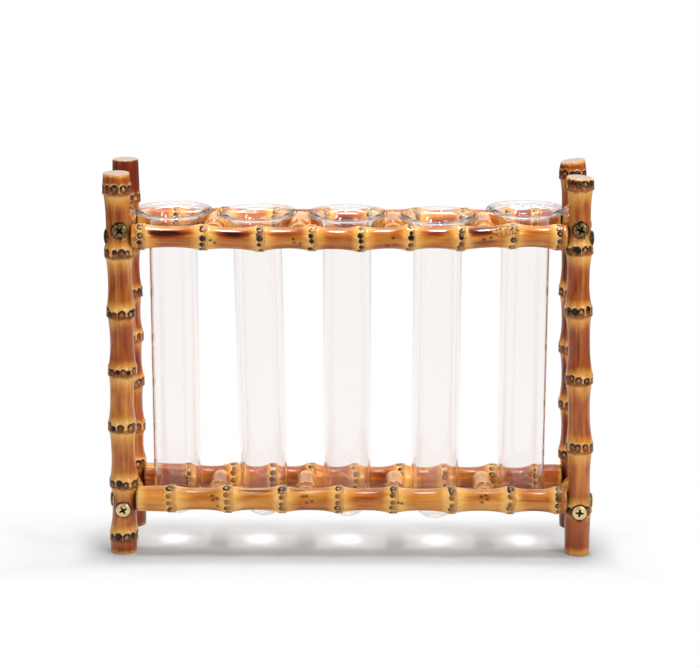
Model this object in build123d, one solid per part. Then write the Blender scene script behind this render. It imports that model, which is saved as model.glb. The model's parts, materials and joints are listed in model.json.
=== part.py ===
from build123d import *
import math
import os

# Test tube vase: five flared glass tubes hang by their lips in a rack of scorched root-culm bamboo.
# Millimetres, +Z up, the front faces -Y, origin at the middle of the footprint on the table.

# Glass tubes
tube_radius = 12.5
tube_wall = 1.0
tube_length = 165.0
flare_radius = 7.0
bead_radius = 1.1
bead_sides = 8

# Room round the hanging tubes
body_clearance = 2.2
seat_clearance = 0.3
lip_gap = 4.4
lip_gap_shares = (0.50, 1.25, 1.32, 0.95)
left_end_room = 5.5
right_end_room = 6.9
tube_tilts = (0.2, 1.2, 0.2, 0.0, 0.0)

# Posts: culms that stand at the corners, all but the front left one leaning a little along the row
front_left_height = 201.7
front_right_height = 200.4
rear_left_height = 200.9
rear_right_height = 200.9
left_post_waist = 6.2
left_post_ring = 7.6
right_post_waist = 5.65
right_post_ring = 7.3
rear_left_post_lean = 0.6
right_post_lean = 2.2
oblique_cut_tilt = -8.0
front_right_cut_tilt = 4.0
front_left_ring_shares = (0.049, 0.191, 0.342, 0.490, 0.643, 0.799, 0.961)
front_right_ring_shares = (0.127, 0.293, 0.476, 0.656, 0.817, 0.983)
rear_left_ring_shares = (0.072, 0.179, 0.279, 0.404, 0.527, 0.647, 0.774, 0.903)
rear_right_ring_shares = (0.080, 0.209, 0.348, 0.502, 0.655, 0.813, 0.968)

# Long rails: culms that run from left to right between the posts
top_rail_height = 168.8
top_front_waist = 5.45
top_rear_waist = 5.7
top_rail_ring = 6.9
bottom_rail_height = 28.7
bottom_rear_drop = 1.3
bottom_front_waist = 5.75
bottom_front_ring = 7.4
bottom_rear_waist = 6.0
bottom_rear_ring = 8.0
top_front_ring_shares = (0.018, 0.162, 0.294, 0.414, 0.527, 0.641, 0.758, 0.878, 0.984)
top_rear_ring_shares = (0.090, 0.205, 0.325, 0.445, 0.555, 0.660, 0.775, 0.875, 0.945)
bottom_front_ring_shares = (0.078, 0.212, 0.338, 0.470, 0.598, 0.736, 0.872, 0.985)
bottom_rear_ring_shares = (0.105, 0.211, 0.308, 0.399, 0.506, 0.615, 0.723, 0.836, 0.945)

# Side rails: short culms that run from front to rear between the posts
side_rail_waist = 5.7
side_rail_ring = 6.8
left_side_rail_rise = 4.15
right_side_rail_rise = 5.2
side_rail_drop = 4.5
top_side_ring_shares = (0.13, 0.52)
bottom_side_ring_shares = (0.30, 0.86)

# Dividers: short culms that run from front to rear between the tubes
top_divider_waist = 5.6
top_divider_ring = 6.3
top_divider_rise = 0.3
bottom_divider_waist = 5.2
bottom_divider_ring = 5.9
bottom_divider_drop = 0.4
divider_ring_share = 0.22
top_divider_shift_shares = (0.04, -0.22, 0.04, 0.11)
bottom_divider_shift_shares = (0.25, 0.46, 0.52, 0.65)

# Rings of a culm: a collar with a crisp ledge on its lower side and a soft brow above
ring_height = 5.2
ring_ledge = 0.7
ring_brow = 1.6
ring_shoulder = 0.5
cut_taper = 0.35

# Joints between culms
butt_gap = 0.05
trim_overrun = 3.0

# Pan-head cross-recess screws
screw_head_radius = 4.0
screw_head_height = 2.3
screw_head_edge = 1.2
screw_head_face = 2.9
screw_shank_radius = 1.4
screw_length = 24.0
screw_tip = 3.0
screw_sink = 1.5
screw_clearance = 0.05
top_left_screw_drift = 1.2
recess_length = 4.6
recess_width = 1.0
recess_depth = 1.3

# Brads: square pins through the long rails into the ends of the dividers
brad_width = 0.9
brad_length = 22.0
brad_sink = 0.2
brad_clearance = 0.05
top_brad_shares = (
    ((-0.16, -0.14), (0.24, -0.39)),
    ((-0.48, -0.04), (-0.40, -0.36), (0.14, -0.43)),
    ((-0.58, -0.58), (-0.03, 0.10), (0.14, -0.50)),
    ((-0.13, 0.00), (0.49, 0.18)),
)
bottom_brad_shares = (
    ((-0.45, 0.70), (-0.41, 0.34), (0.03, 0.48), (0.08, -0.30)),
    ((-0.25, 0.66), (0.12, 0.68), (0.17, 0.06), (0.67, 0.20)),
    ((0.28, 0.16), (0.60, 0.07)),
    ((0.05, 0.80), (-0.42, 0.72), (0.21, 0.46), (-0.35, 0.17)),
)
rear_brad_shares = ((-0.40, 0.10), (0.40, -0.15))


class Culm:
    """A length of root culm along +Z: a hollow-sided stalk with a collar at each ring."""

    def __init__(self, length, ring_shares, waist, ring, grows_back=False):
        self.length = length
        self.waist = waist
        self.ring = ring
        self.first_slope = ring_brow if grows_back else ring_ledge
        self.last_slope = ring_ledge if grows_back else ring_brow
        self.shoulder = ring - ring_shoulder
        self.cut = self.shoulder - cut_taper
        self.places = [length * share for share in ring_shares]

    def spans(self):
        """The lower and upper station of each collar, kept inside the culm."""
        half = ring_height / 2
        return [(max(place - half, 0), min(place + half, self.length)) for place in self.places]

    def hollow(self, station, low, high):
        """The radius of the hollow side between two collars."""
        half = (high - low) / 2
        offset = station - (low + high) / 2
        return self.waist + (self.shoulder - self.waist) * (offset / half)**2

    def radius(self, station):
        """The largest radius at a station along the culm."""
        spans = self.spans()
        if any(low <= station <= high for low, high in spans):
            return self.ring
        for (_, low), (high, _) in zip(spans, spans[1:]):
            if low < station < high:
                return self.hollow(station, low, high)
        return self.shoulder

    def reach(self, low, high):
        """The largest radius between two stations."""
        if any(start < high and end > low for start, end in self.spans()):
            return self.ring
        return max(self.radius(low), self.radius(high))

    def solid(self):
        """Revolve the outline: cut end, collars and hollow sides, cut end."""
        spans = self.spans()
        first = spans[0][0]
        last = spans[-1][1]
        start = (self.cut, -trim_overrun)
        edges = [Line((0, -trim_overrun), start), Line(start, (self.shoulder, first))]
        for index, (low, high) in enumerate(spans):
            rise = (self.ring, low + self.first_slope)
            fall = (self.ring, high - self.last_slope)
            top = (self.shoulder, high)
            edges += [Line((self.shoulder, low), rise), Line(rise, fall), Line(fall, top)]
            if index + 1 < len(spans):
                foot = spans[index + 1][0]
                pull = (2 * self.waist - self.shoulder, (high + foot) / 2)
                edges.append(Bezier(top, pull, (self.shoulder, foot)))
        end = (self.cut, self.length + trim_overrun)
        edges += [Line((self.shoulder, last), end), Line(end, (0, self.length + trim_overrun))]
        edges.append(Line((0, self.length + trim_overrun), (0, -trim_overrun)))
        outline = make_face(edges)
        return revolve(Plane.XZ * outline, Axis.Z)


class Post:
    """A corner culm whose axis runs from foot_x on the floor to top_x at its height."""

    def __init__(self, height, ring_shares, waist, ring, foot_x, top_x, y, cut_tilt):
        self.height = height
        self.foot_x = foot_x
        self.top_x = top_x
        self.y = y
        self.cut_tilt = cut_tilt
        self.culm = Culm(height, ring_shares, waist, ring)

    def x(self, z):
        """The axis at a height."""
        return self.foot_x + (self.top_x - self.foot_x) * z / self.height

    def solid(self):
        """Lean the culm, then saw it level at the floor and across its top."""
        lean = math.degrees(math.atan2(self.top_x - self.foot_x, self.height))
        culm = Pos(self.foot_x, self.y, 0) * Rot(0, lean, 0) * self.culm.solid()
        tilt = math.radians(self.cut_tilt)
        saw = Plane((self.top_x, self.y, self.height), z_dir=(math.sin(tilt), 0, math.cos(tilt)))
        culm = split(culm, Plane.XY, Keep.TOP)
        return split(culm, saw, Keep.BOTTOM)


class Rail:
    """A level culm with square-cut ends, along X or along Y."""

    def __init__(self, start, end, ring_shares, waist, ring, across, z, along_x):
        self.start = start
        self.length = end - start
        self.across = across
        self.z = z
        self.along_x = along_x
        self.culm = Culm(self.length, ring_shares, waist, ring, grows_back=along_x)

    def radius(self, place):
        """The radius at a place along the rail's own direction."""
        return self.culm.radius(place - self.start)

    def reach(self, low, high):
        """The largest radius between two places."""
        return self.culm.reach(low - self.start, high - self.start)

    def solid(self):
        """Saw the culm to length and lay it in its place."""
        culm = split(self.culm.solid(), Plane.XY, Keep.TOP)
        culm = split(culm, Plane.XY.offset(self.length), Keep.BOTTOM)
        if self.along_x:
            return Pos(self.start, self.across, self.z) * Rot(0, 90, 0) * culm
        return Pos(self.across, self.start, self.z) * Rot(-90, 0, 0) * culm


# Places of the tubes along the rack
lip_radius = tube_radius + flare_radius
lip_reach = lip_radius + bead_radius
tube_count = len(tube_tilts)
lip_gaps = [lip_gap * share for share in lip_gap_shares]
rack_width = left_end_room + right_end_room + 2 * lip_reach * tube_count + sum(lip_gaps)
left_x = -rack_width / 2
right_x = rack_width / 2
tube_places = []
lip_start = left_x + left_end_room
for index in range(tube_count):
    tube_places.append(lip_start + lip_reach)
    lip_start = tube_places[index] + lip_reach + sum(lip_gaps[index:index + 1])

# Distance of the posts and long rails from the middle plane
half_depth = tube_radius + body_clearance + top_rail_ring
foot_x = right_x + right_post_lean
top_x = right_x - right_post_lean

rear_left_foot_x = left_x + rear_left_post_lean

posts = {
    "post_front_left": Post(
        front_left_height, front_left_ring_shares, left_post_waist, left_post_ring,
        left_x, left_x, -half_depth, 0),
    "post_front_right": Post(
        front_right_height, front_right_ring_shares, right_post_waist, right_post_ring,
        foot_x, top_x, -half_depth, front_right_cut_tilt),
    "post_rear_left": Post(
        rear_left_height, rear_left_ring_shares, left_post_waist, left_post_ring,
        rear_left_foot_x, left_x, half_depth, 0),
    "post_rear_right": Post(
        rear_right_height, rear_right_ring_shares, right_post_waist, right_post_ring,
        foot_x, top_x, half_depth, oblique_cut_tilt),
}


def long_rail(left_post, right_post, z, ring_shares, waist, ring):
    """A long rail whose ends butt against the posts' widest part beside it."""
    left_reach = left_post.culm.reach(z - ring, z + ring)
    right_reach = right_post.culm.reach(z - ring, z + ring)
    start = left_post.x(z) + left_reach + butt_gap
    end = right_post.x(z) - right_reach - butt_gap
    return Rail(start, end, ring_shares, waist, ring, left_post.y, z, True)


def side_rail(front_post, rear_post, z, ring_shares):
    """A side rail whose ends butt against the front and rear posts."""
    front_reach = front_post.culm.reach(z - side_rail_ring, z + side_rail_ring)
    rear_reach = rear_post.culm.reach(z - side_rail_ring, z + side_rail_ring)
    start = front_post.y + front_reach + butt_gap
    end = rear_post.y - rear_reach - butt_gap
    x = (front_post.x(z) + rear_post.x(z)) / 2
    return Rail(start, end, ring_shares, side_rail_waist, side_rail_ring, x, z, False)


def divider(front_rail, rear_rail, x, z, waist, ring):
    """A divider whose ends butt against the long rails."""
    start = front_rail.across + front_rail.reach(x - ring, x + ring) + butt_gap
    end = rear_rail.across - rear_rail.reach(x - ring, x + ring) - butt_gap
    return Rail(start, end, (divider_ring_share,), waist, ring, x, z, False)


front_left = posts["post_front_left"]
front_right = posts["post_front_right"]
rear_left = posts["post_rear_left"]
rear_right = posts["post_rear_right"]
rails = {
    "rail_top_front": long_rail(
        front_left, front_right, top_rail_height, top_front_ring_shares, top_front_waist, top_rail_ring),
    "rail_top_rear": long_rail(
        rear_left, rear_right, top_rail_height, top_rear_ring_shares, top_rear_waist, top_rail_ring),
    "rail_bottom_front": long_rail(
        front_left, front_right, bottom_rail_height,
        bottom_front_ring_shares, bottom_front_waist, bottom_front_ring),
    "rail_bottom_rear": long_rail(
        rear_left, rear_right, bottom_rail_height - bottom_rear_drop,
        bottom_rear_ring_shares, bottom_rear_waist, bottom_rear_ring),
}
top_left_side_height = top_rail_height + left_side_rail_rise
top_right_side_height = top_rail_height + right_side_rail_rise
bottom_side_height = bottom_rail_height - side_rail_drop
side_rails = {
    "side_rail_top_left": side_rail(front_left, rear_left, top_left_side_height, top_side_ring_shares),
    "side_rail_top_right": side_rail(front_right, rear_right, top_right_side_height, top_side_ring_shares),
    "side_rail_bottom_left": side_rail(
        front_left, rear_left, bottom_side_height, bottom_side_ring_shares),
    "side_rail_bottom_right": side_rail(
        front_right, rear_right, bottom_side_height, bottom_side_ring_shares),
}

# Dividers stand in the gaps between neighbouring tubes, each a little off the middle of its gap
top_dividers = []
bottom_dividers = []
for index, (left_tube, right_tube) in enumerate(zip(tube_places, tube_places[1:])):
    middle = (left_tube + right_tube) / 2
    top_shift = lip_gap * top_divider_shift_shares[index]
    bottom_shift = lip_gap * bottom_divider_shift_shares[index]
    top_dividers.append(divider(
        rails["rail_top_front"], rails["rail_top_rear"], middle + top_shift,
        top_rail_height + top_divider_rise, top_divider_waist, top_divider_ring))
    bottom_dividers.append(divider(
        rails["rail_bottom_front"], rails["rail_bottom_rear"], middle + bottom_shift,
        bottom_rail_height - bottom_divider_drop, bottom_divider_waist, bottom_divider_ring))


def perch(culm_height, culm_radius, offset):
    """How high the middle of the lip bead lies when it rests on a level culm beside it."""
    span = culm_radius + bead_radius + seat_clearance
    if abs(offset) >= span:
        return 0
    return culm_height + math.sqrt(span**2 - offset**2)


def lip_height(tube_x, tilt, steps=72):
    """Lower the lip until it meets the first culm anywhere round its bead."""
    heights = []
    for step in range(steps):
        angle = math.radians(360 * step / steps)
        reach_x = lip_radius * math.cos(angle)
        x = tube_x + reach_x
        y = lip_radius * math.sin(angle)
        rise = reach_x * math.tan(math.radians(tilt))
        for rail in (rails["rail_top_front"], rails["rail_top_rear"]):
            heights.append(perch(rail.z, rail.radius(x), y - rail.across) - rise)
        for rail in (side_rails["side_rail_top_left"], side_rails["side_rail_top_right"], *top_dividers):
            if rail.start < y < rail.start + rail.length:
                heights.append(perch(rail.z, rail.radius(y), x - rail.across) - rise)
    return max(heights)


def tube():
    """A thin-walled tube with its lip centre at the origin: round end, trumpet and rolled bead."""
    flare_z = -flare_radius - tube_wall / 2
    round_z = flare_z - (tube_length - tube_radius - flare_radius - tube_wall / 2 - bead_radius)
    inner = tube_radius - tube_wall
    slant = math.sqrt(0.5)
    outer_edges = [
        ThreePointArc(
            (0, round_z - tube_radius),
            (tube_radius * slant, round_z - tube_radius * slant),
            (tube_radius, round_z)),
        Line((tube_radius, round_z), (tube_radius, flare_z)),
        ThreePointArc(
            (tube_radius, flare_z),
            (lip_radius - flare_radius * slant, flare_z + flare_radius * slant),
            (lip_radius, flare_z + flare_radius)),
        Line((lip_radius, flare_z + flare_radius), (lip_radius, flare_z + flare_radius + tube_wall)),
    ]
    thick_flare = flare_radius + tube_wall
    inner_edges = [
        ThreePointArc(
            (lip_radius, flare_z + thick_flare),
            (lip_radius - thick_flare * slant, flare_z + thick_flare * slant),
            (inner, flare_z)),
        Line((inner, flare_z), (inner, round_z)),
        ThreePointArc(
            (inner, round_z), (inner * slant, round_z - inner * slant), (0, round_z - inner)),
        Line((0, round_z - inner), (0, round_z - tube_radius)),
    ]
    wall = revolve(Plane.XZ * make_face(outer_edges + inner_edges), Axis.Z)
    section = Pos(lip_radius, 0) * RegularPolygon(bead_radius, bead_sides)
    return wall + revolve(Plane.XZ * section, Axis.Z)


def screw():
    """A pan-head screw along +Z: the head's underside at the origin, its point up."""
    outline = make_face(Polyline(
        (0, -screw_head_height),
        (0, screw_length),
        (screw_shank_radius, screw_length - screw_tip),
        (screw_shank_radius, 0),
        (screw_head_radius, 0),
        (screw_head_radius, -screw_head_edge),
        (screw_head_face, -screw_head_height),
        close=True))
    body = revolve(Plane.XZ * outline, Axis.Z)
    low = (Align.CENTER, Align.CENTER, Align.MIN)
    recess = Pos(0, 0, -screw_head_height) * Box(recess_length, recess_width, recess_depth, align=low)
    return body - recess - Rot(0, 0, 90) * recess


def screw_hole():
    """The hole that a screw leaves: a flat seat for its head and a bore for its shank."""
    head = Cylinder(
        screw_head_radius + screw_clearance, screw_head_height + screw_sink,
        align=(Align.CENTER, Align.CENTER, Align.MAX))
    shank = Cylinder(
        screw_shank_radius + screw_clearance, screw_length + screw_clearance,
        align=(Align.CENTER, Align.CENTER, Align.MIN))
    return head + shank


def brad():
    """A brad along +Z from its head at the origin."""
    return Box(brad_width, brad_width, brad_length, align=(Align.CENTER, Align.CENTER, Align.MIN))


def brad_hole():
    """The slot that a brad leaves, open at the rail's surface."""
    width = brad_width + 2 * brad_clearance
    slot = Box(
        width, width, brad_length + brad_clearance,
        align=(Align.CENTER, Align.CENTER, Align.MIN))
    mouth = Box(width, width, 2 * brad_sink, align=(Align.CENTER, Align.CENTER, Align.MAX))
    return slot + mouth


# Screws: each is a group, the culms that it passes through and where its head sits
turn_rear = Rot(-90, 0, 0)
turn_front = Rot(90, 0, 0)
turn_right = Rot(0, 90, 0)
turn_left = Rot(0, -90, 0)
screws = []
for post_name, post in posts.items():
    is_left = post_name.endswith("left")
    is_front = "front" in post_name
    side = "left" if is_left else "right"
    end = "front" if is_front else "rear"
    for level, finish in (("top", "bronze"), ("bottom", "brass")):
        across_rail_name = f"side_rail_{level}_{side}"
        across_z = side_rails[across_rail_name].z
        seat = post.culm.radius(across_z) - screw_sink
        turn = turn_rear if is_front else turn_front
        y = post.y - seat if is_front else post.y + seat
        drift = top_left_screw_drift if (post_name, level) == ("post_front_left", "top") else 0
        place = Pos(post.x(across_z) + drift, y, across_z) * turn
        screws.append((f"{finish}_screws_{end}", (post_name, across_rail_name), place))
        long_rail_name = f"rail_{level}_{end}"
        long_z = rails[long_rail_name].z
        seat = post.culm.radius(long_z) - screw_sink
        turn = turn_right if is_left else turn_left
        x = post.x(long_z) - seat if is_left else post.x(long_z) + seat
        place = Pos(x, post.y, long_z) * turn
        screws.append((f"{finish}_screws_sides", (post_name, long_rail_name), place))

# Brads: the same for the pins between the long rails and the dividers
brads = []
for level, dividers, front_shares in (
        ("top", top_dividers, top_brad_shares), ("bottom", bottom_dividers, bottom_brad_shares)):
    for index, piece in enumerate(dividers):
        divider_name = f"divider_{level}_{index + 1}"
        for end, shares in (("front", front_shares[index]), ("rear", rear_brad_shares)):
            rail_name = f"rail_{level}_{end}"
            rail = rails[rail_name]
            for x_share, z_share in shares:
                x = piece.across + piece.culm.waist * x_share
                z = piece.z + piece.culm.waist * z_share
                skin = math.sqrt(rail.radius(x)**2 - (z - rail.z)**2) - brad_sink
                turn = turn_rear if end == "front" else turn_front
                y = rail.across - skin if end == "front" else rail.across + skin
                brads.append((f"{end}_brads", (rail_name, divider_name), Pos(x, y, z) * turn))

# Every piece by its node name
pieces = {name: post.solid() for name, post in posts.items()}
pieces |= {name: rail.solid() for name, rail in (rails | side_rails).items()}
for index in range(len(top_dividers)):
    pieces[f"divider_top_{index + 1}"] = top_dividers[index].solid()
    pieces[f"divider_bottom_{index + 1}"] = bottom_dividers[index].solid()

# Bore the culms and drive the fasteners home
groups = {}
holes = {}
for fasteners, solid, hole in ((screws, screw(), screw_hole()), (brads, brad(), brad_hole())):
    for group, drilled, place in fasteners:
        groups.setdefault(group, []).append(place * solid)
        for name in drilled:
            holes.setdefault(name, []).append(place * hole)
for name, bores in holes.items():
    pieces[name] = pieces[name] - bores
pieces |= {group: Compound(solids) for group, solids in groups.items()}

# Hang the tubes
glass = tube()
for index, (x, tilt) in enumerate(zip(tube_places, tube_tilts)):
    pieces[f"tube_{index + 1}"] = Pos(x, 0, lip_height(x, tilt)) * Rot(0, -tilt, 0) * glass

# Put the origin at the middle of the footprint and write one file for each node
outer_box = Compound(list(pieces.values())).bounding_box()
centring = Pos(-outer_box.center().X, -outer_box.center().Y, -outer_box.min.Z)
os.makedirs("parts", exist_ok=True)
for name, piece in pieces.items():
    export_step(centring * piece, f"parts/{name}.step")

# Places that other work on the vase needs
for name, post in posts.items():
    print(f"{name} foot", (centring * Pos(post.foot_x, post.y, 0)).position)
for index, (x, tilt) in enumerate(zip(tube_places, tube_tilts)):
    lip = centring * Pos(x, 0, lip_height(x, tilt))
    print(f"tube_{index + 1} lip centre", lip.position, "tilt", tilt)
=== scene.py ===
import json
import math

import bmesh
import bpy
import numpy as np
from mathutils import Matrix, Vector


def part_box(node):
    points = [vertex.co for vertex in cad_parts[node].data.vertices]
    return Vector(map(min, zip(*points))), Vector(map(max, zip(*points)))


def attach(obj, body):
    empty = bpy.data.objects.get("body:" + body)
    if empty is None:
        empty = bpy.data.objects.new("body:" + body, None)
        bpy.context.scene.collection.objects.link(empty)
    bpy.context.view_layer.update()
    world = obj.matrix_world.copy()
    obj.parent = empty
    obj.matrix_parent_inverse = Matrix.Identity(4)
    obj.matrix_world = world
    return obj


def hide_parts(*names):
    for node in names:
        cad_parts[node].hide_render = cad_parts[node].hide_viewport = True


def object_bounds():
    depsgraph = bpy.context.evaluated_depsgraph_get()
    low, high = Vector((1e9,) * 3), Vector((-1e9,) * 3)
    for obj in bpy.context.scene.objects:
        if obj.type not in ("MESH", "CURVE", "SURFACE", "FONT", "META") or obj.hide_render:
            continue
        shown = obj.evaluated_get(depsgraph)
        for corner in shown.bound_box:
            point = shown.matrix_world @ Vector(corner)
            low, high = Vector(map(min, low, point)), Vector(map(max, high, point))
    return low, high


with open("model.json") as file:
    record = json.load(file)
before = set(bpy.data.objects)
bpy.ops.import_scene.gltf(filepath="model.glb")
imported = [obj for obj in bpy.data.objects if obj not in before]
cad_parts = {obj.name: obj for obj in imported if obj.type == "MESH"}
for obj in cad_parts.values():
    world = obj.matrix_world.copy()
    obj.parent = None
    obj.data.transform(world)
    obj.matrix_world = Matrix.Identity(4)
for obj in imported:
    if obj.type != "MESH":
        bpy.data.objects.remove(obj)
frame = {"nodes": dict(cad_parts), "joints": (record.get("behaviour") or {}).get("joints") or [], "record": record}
cad_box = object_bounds()

# Millimetres in this script become metres in the scene
MM = 0.001
SEED = 41

# Culms: the collar at each ring, as in the CAD, the sawn ends, the slow wave of the skin and the mesh's fineness
RING_HEIGHT = 5.2
RING_SHOULDER = 0.5
RING_SHIFT = 0.45
LEDGE_RISE = 0.35
LEDGE_WAVE = 0.22
CUT_TAPER = 0.35
CUT_BEVEL = 0.3
TRIM_ZONE = 3.0
JOINT_REACH = 1.0
HOLLOW_POWER = 2.5
SKIN_WAVE = 0.07
SKIN_LENGTH = 23
SKIN_SINK = 0.05
ROUND_STEPS = 160
FINE_STEP = 0.27
COARSE_STEP = 1.1
CAP_STEPS = 12

# Root scars: how many round a ring, their radius and relief, and the scalloped lip of the collar round them
POST_SCARS = 12
RAIL_SCARS = 13
DIVIDER_SCARS = 11
POST_SCAR_RADIUS = 1.65
RAIL_SCAR_RADIUS = 1.3
SCAR_GROOVE = 0.36
SCAR_DOME = 0.16
SCAR_PIT = 0.3
SCALLOP_STEP = 0.26
SCALLOP_HEIGHT = 1.5
SCALLOP_WAVE = 0.3
SCAR_ARCH = 1.14
SCAR_RISE = (-1.0, 0.9)
UNDERCUT = 0.16

# How much lower the collars of the posts begin, how brown the collars of the rails are beside theirs, and how
# strong the painted shade in the rails' creases is beside theirs
POST_RING_DROP = 0.8
RAIL_BAND = 0.45
RAIL_CREASE_SHADE = 0.55

# Waists of the culms between two collars
WAISTS = {
    "post_front_left": 6.2, "post_front_right": 5.65, "post_rear_left": 6.2, "post_rear_right": 5.65,
    "rail_top_front": 5.45, "rail_top_rear": 5.7, "rail_bottom_front": 5.75, "rail_bottom_rear": 6.0}
SIDE_RAIL_WAIST = 5.7
TOP_DIVIDER_WAIST = 5.6
BOTTOM_DIVIDER_WAIST = 5.5

# How far the sawn top of a post slopes, in degrees
CUT_TILTS = {"post_front_right": 4.0, "post_rear_right": -8.0}

# Screws and brads
HEAD_RADIUS = 4.0
HEAD_HEIGHT = 2.3
HEAD_EDGE = 1.1
SEAT_ROOM = 0.16
RECESS_LENGTH = 5.0
RECESS_WIDTH = 1.25
RECESS_DEPTH = 1.3
DOME_POWER = 3.2
SHANK_RADIUS = 1.4
SCREW_TIP = 3.0
SCREW_STEPS = 48
SHARP_ANGLE = 32
# How far each screw's cross is turned, in degrees
SCREW_TURNS = {
    ("bronze", "front"): (42, 22), ("bronze", "rear"): (10, 65), ("bronze", "sides"): (30, 75, 15, 50),
    ("brass", "front"): (-28, 4), ("brass", "rear"): (50, 12), ("brass", "sides"): (20, 60, 35, 80)}
BRAD_RADIUS = 0.5
BRAD_SINK = 0.2
BRAD_STEPS = 14

# Glass tubes: sizes and steps, the ray depth from which they are plainly clear, and how clear the bead is
TUBE_RADIUS = 12.5
TUBE_WALL = 1.0
TUBE_LENGTH = 165.0
FLARE_RADIUS = 7.0
BEAD_RADIUS = 1.1
GLASS_STEPS = 160
ROUND_END_STEPS = 22
FLARE_STEPS = 18
BEAD_STEPS = 56
BODY_SHARES = (0.25, 0.5, 0.75)
GLASS_IOR = 1.46
GLASS_DEPTH = 8.5
BEAD_CLEAR = 0.8

# How dark the painted shade is in the joints at the ends of rails and dividers, and in those of the top dividers
JOINT_SHADE = 0.85
TOP_DIVIDER_SHADE = 0.3

# A burn with a longer half length than this doesn't fade near its rings
WHOLE_BURN = 0.65

# Studio, in metres: where the floor turns plain white round the shadow, and how dim mirror rays see it and
# the world
FLOOR_HALF = 6.0
FLOOR_COLOUR = (0.57, 0.583, 0.592, 1)
CLEAR_LEFT = (-0.205, -0.15)
CLEAR_RIGHT = (0.13, 0.17)
CLEAR_FRONT = (-0.075, -0.038)
CLEAR_REAR = (-0.03, 0.05)
GLOSS_FLOOR = (0.2, 0.9)
GLOSS_DIM = 0.85
GLOSS_SKY = (0.25, 0.85)
GLOSS_FRONT = 0.08
WORLD_LEVEL = 0.21

# Camera: fitted to the photo, in millimetres and radians
CAMERA_PLACE = (4.206, -1205.15, 423.8)
CAMERA_DOWN = 0.2528
CAMERA_TURN = -0.0043
CAMERA_ROLL = 0.0033
CAMERA_LENS = 122.38
SENSOR_WIDTH = 36.0

# Lamps: place, width, height and power
LAMP_AIM = (0, 0, 0.1)
LAMPS = {
    "overhead": ((0.0, 0.12, 3.2), 0.44, 0.48, 92.0),
    "rear_top": ((0.0, 0.45, 1.15), 1.1, 0.08, 3.4),
    "key": ((0.74, -0.42, 0.85), 0.14, 0.5, 3.2),
    "front_right": ((0.85, -1.1, 0.7), 0.3, 0.7, 6.9),
    "front_left": ((-0.9, -1.05, 0.65), 0.5, 0.6, 3.9),
}
BOUNCES = 32
GLOSSY_BOUNCES = 12

FRONT = Vector((0, -1, 0))
RIGHT = Vector((1, 0, 0))
UP = Vector((0, 0, 1))


def node_points(name):
    """The corners of a CAD node's mesh, in millimetres."""
    mesh = frame["nodes"][name].data
    flat = np.empty(len(mesh.vertices) * 3, np.float32)
    mesh.vertices.foreach_get("co", flat)
    return flat.reshape(-1, 3).astype(float) / MM


def node_solids(name):
    """The corners of each separate solid in a CAD node, in millimetres."""
    work = bmesh.new()
    work.from_mesh(frame["nodes"][name].data)
    bmesh.ops.remove_doubles(work, verts=work.verts, dist=0.002 * MM)
    work.verts.ensure_lookup_table()
    seen = set()
    solids = []
    for first in work.verts:
        if first in seen:
            continue
        seen.add(first)
        group = [first]
        for corner in group:
            for edge in corner.link_edges:
                other = edge.other_vert(corner)
                if other not in seen:
                    seen.add(other)
                    group.append(other)
        solids.append(np.array([corner.co for corner in group], float) / MM)
    work.free()
    return solids


class Pin:
    """A screw or brad of the CAD model: where its head's underside sits and the way it points."""

    def __init__(self, points):
        low = points.min(0)
        high = points.max(0)
        self.along = int(np.argmax(high - low))
        middle = (low + high) / 2
        spread = np.abs(np.delete(points - middle, self.along, 1)).max(1)
        widest = points[spread > spread.max() - 0.02, self.along].mean()
        self.length = high[self.along] - low[self.along]
        points_up = widest < middle[self.along]
        self.way = Vector((0, 0, 0))
        self.way[self.along] = 1 if points_up else -1
        self.head = middle.copy()
        self.head[self.along] = low[self.along] if points_up else high[self.along]


def smooth(value, low, high):
    """A soft step from 0 to 1."""
    share = np.clip((value - low) / (high - low), 0, 1)
    return share * share * (3 - 2 * share)


def bump(value, width):
    """A soft bump that is 1 at zero."""
    return np.exp(-(value / width) ** 2)


def wave(angle, rng, terms=(2, 3, 5, 8)):
    """A smooth closed wave round a culm, between about -1 and 1."""
    total = np.zeros_like(angle)
    for term in terms:
        total += np.sin(term * angle + rng.uniform(0, math.tau)) / len(terms) ** 0.5
    return total


def apart(angle, turn):
    """How far each angle lies from a turn, between minus and plus half a circle."""
    return (angle - turn + math.pi) % math.tau - math.pi


def raise_mask(masks, name, value):
    """Make a mask no less than a value."""
    masks[name] = np.maximum(masks[name], value)


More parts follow.
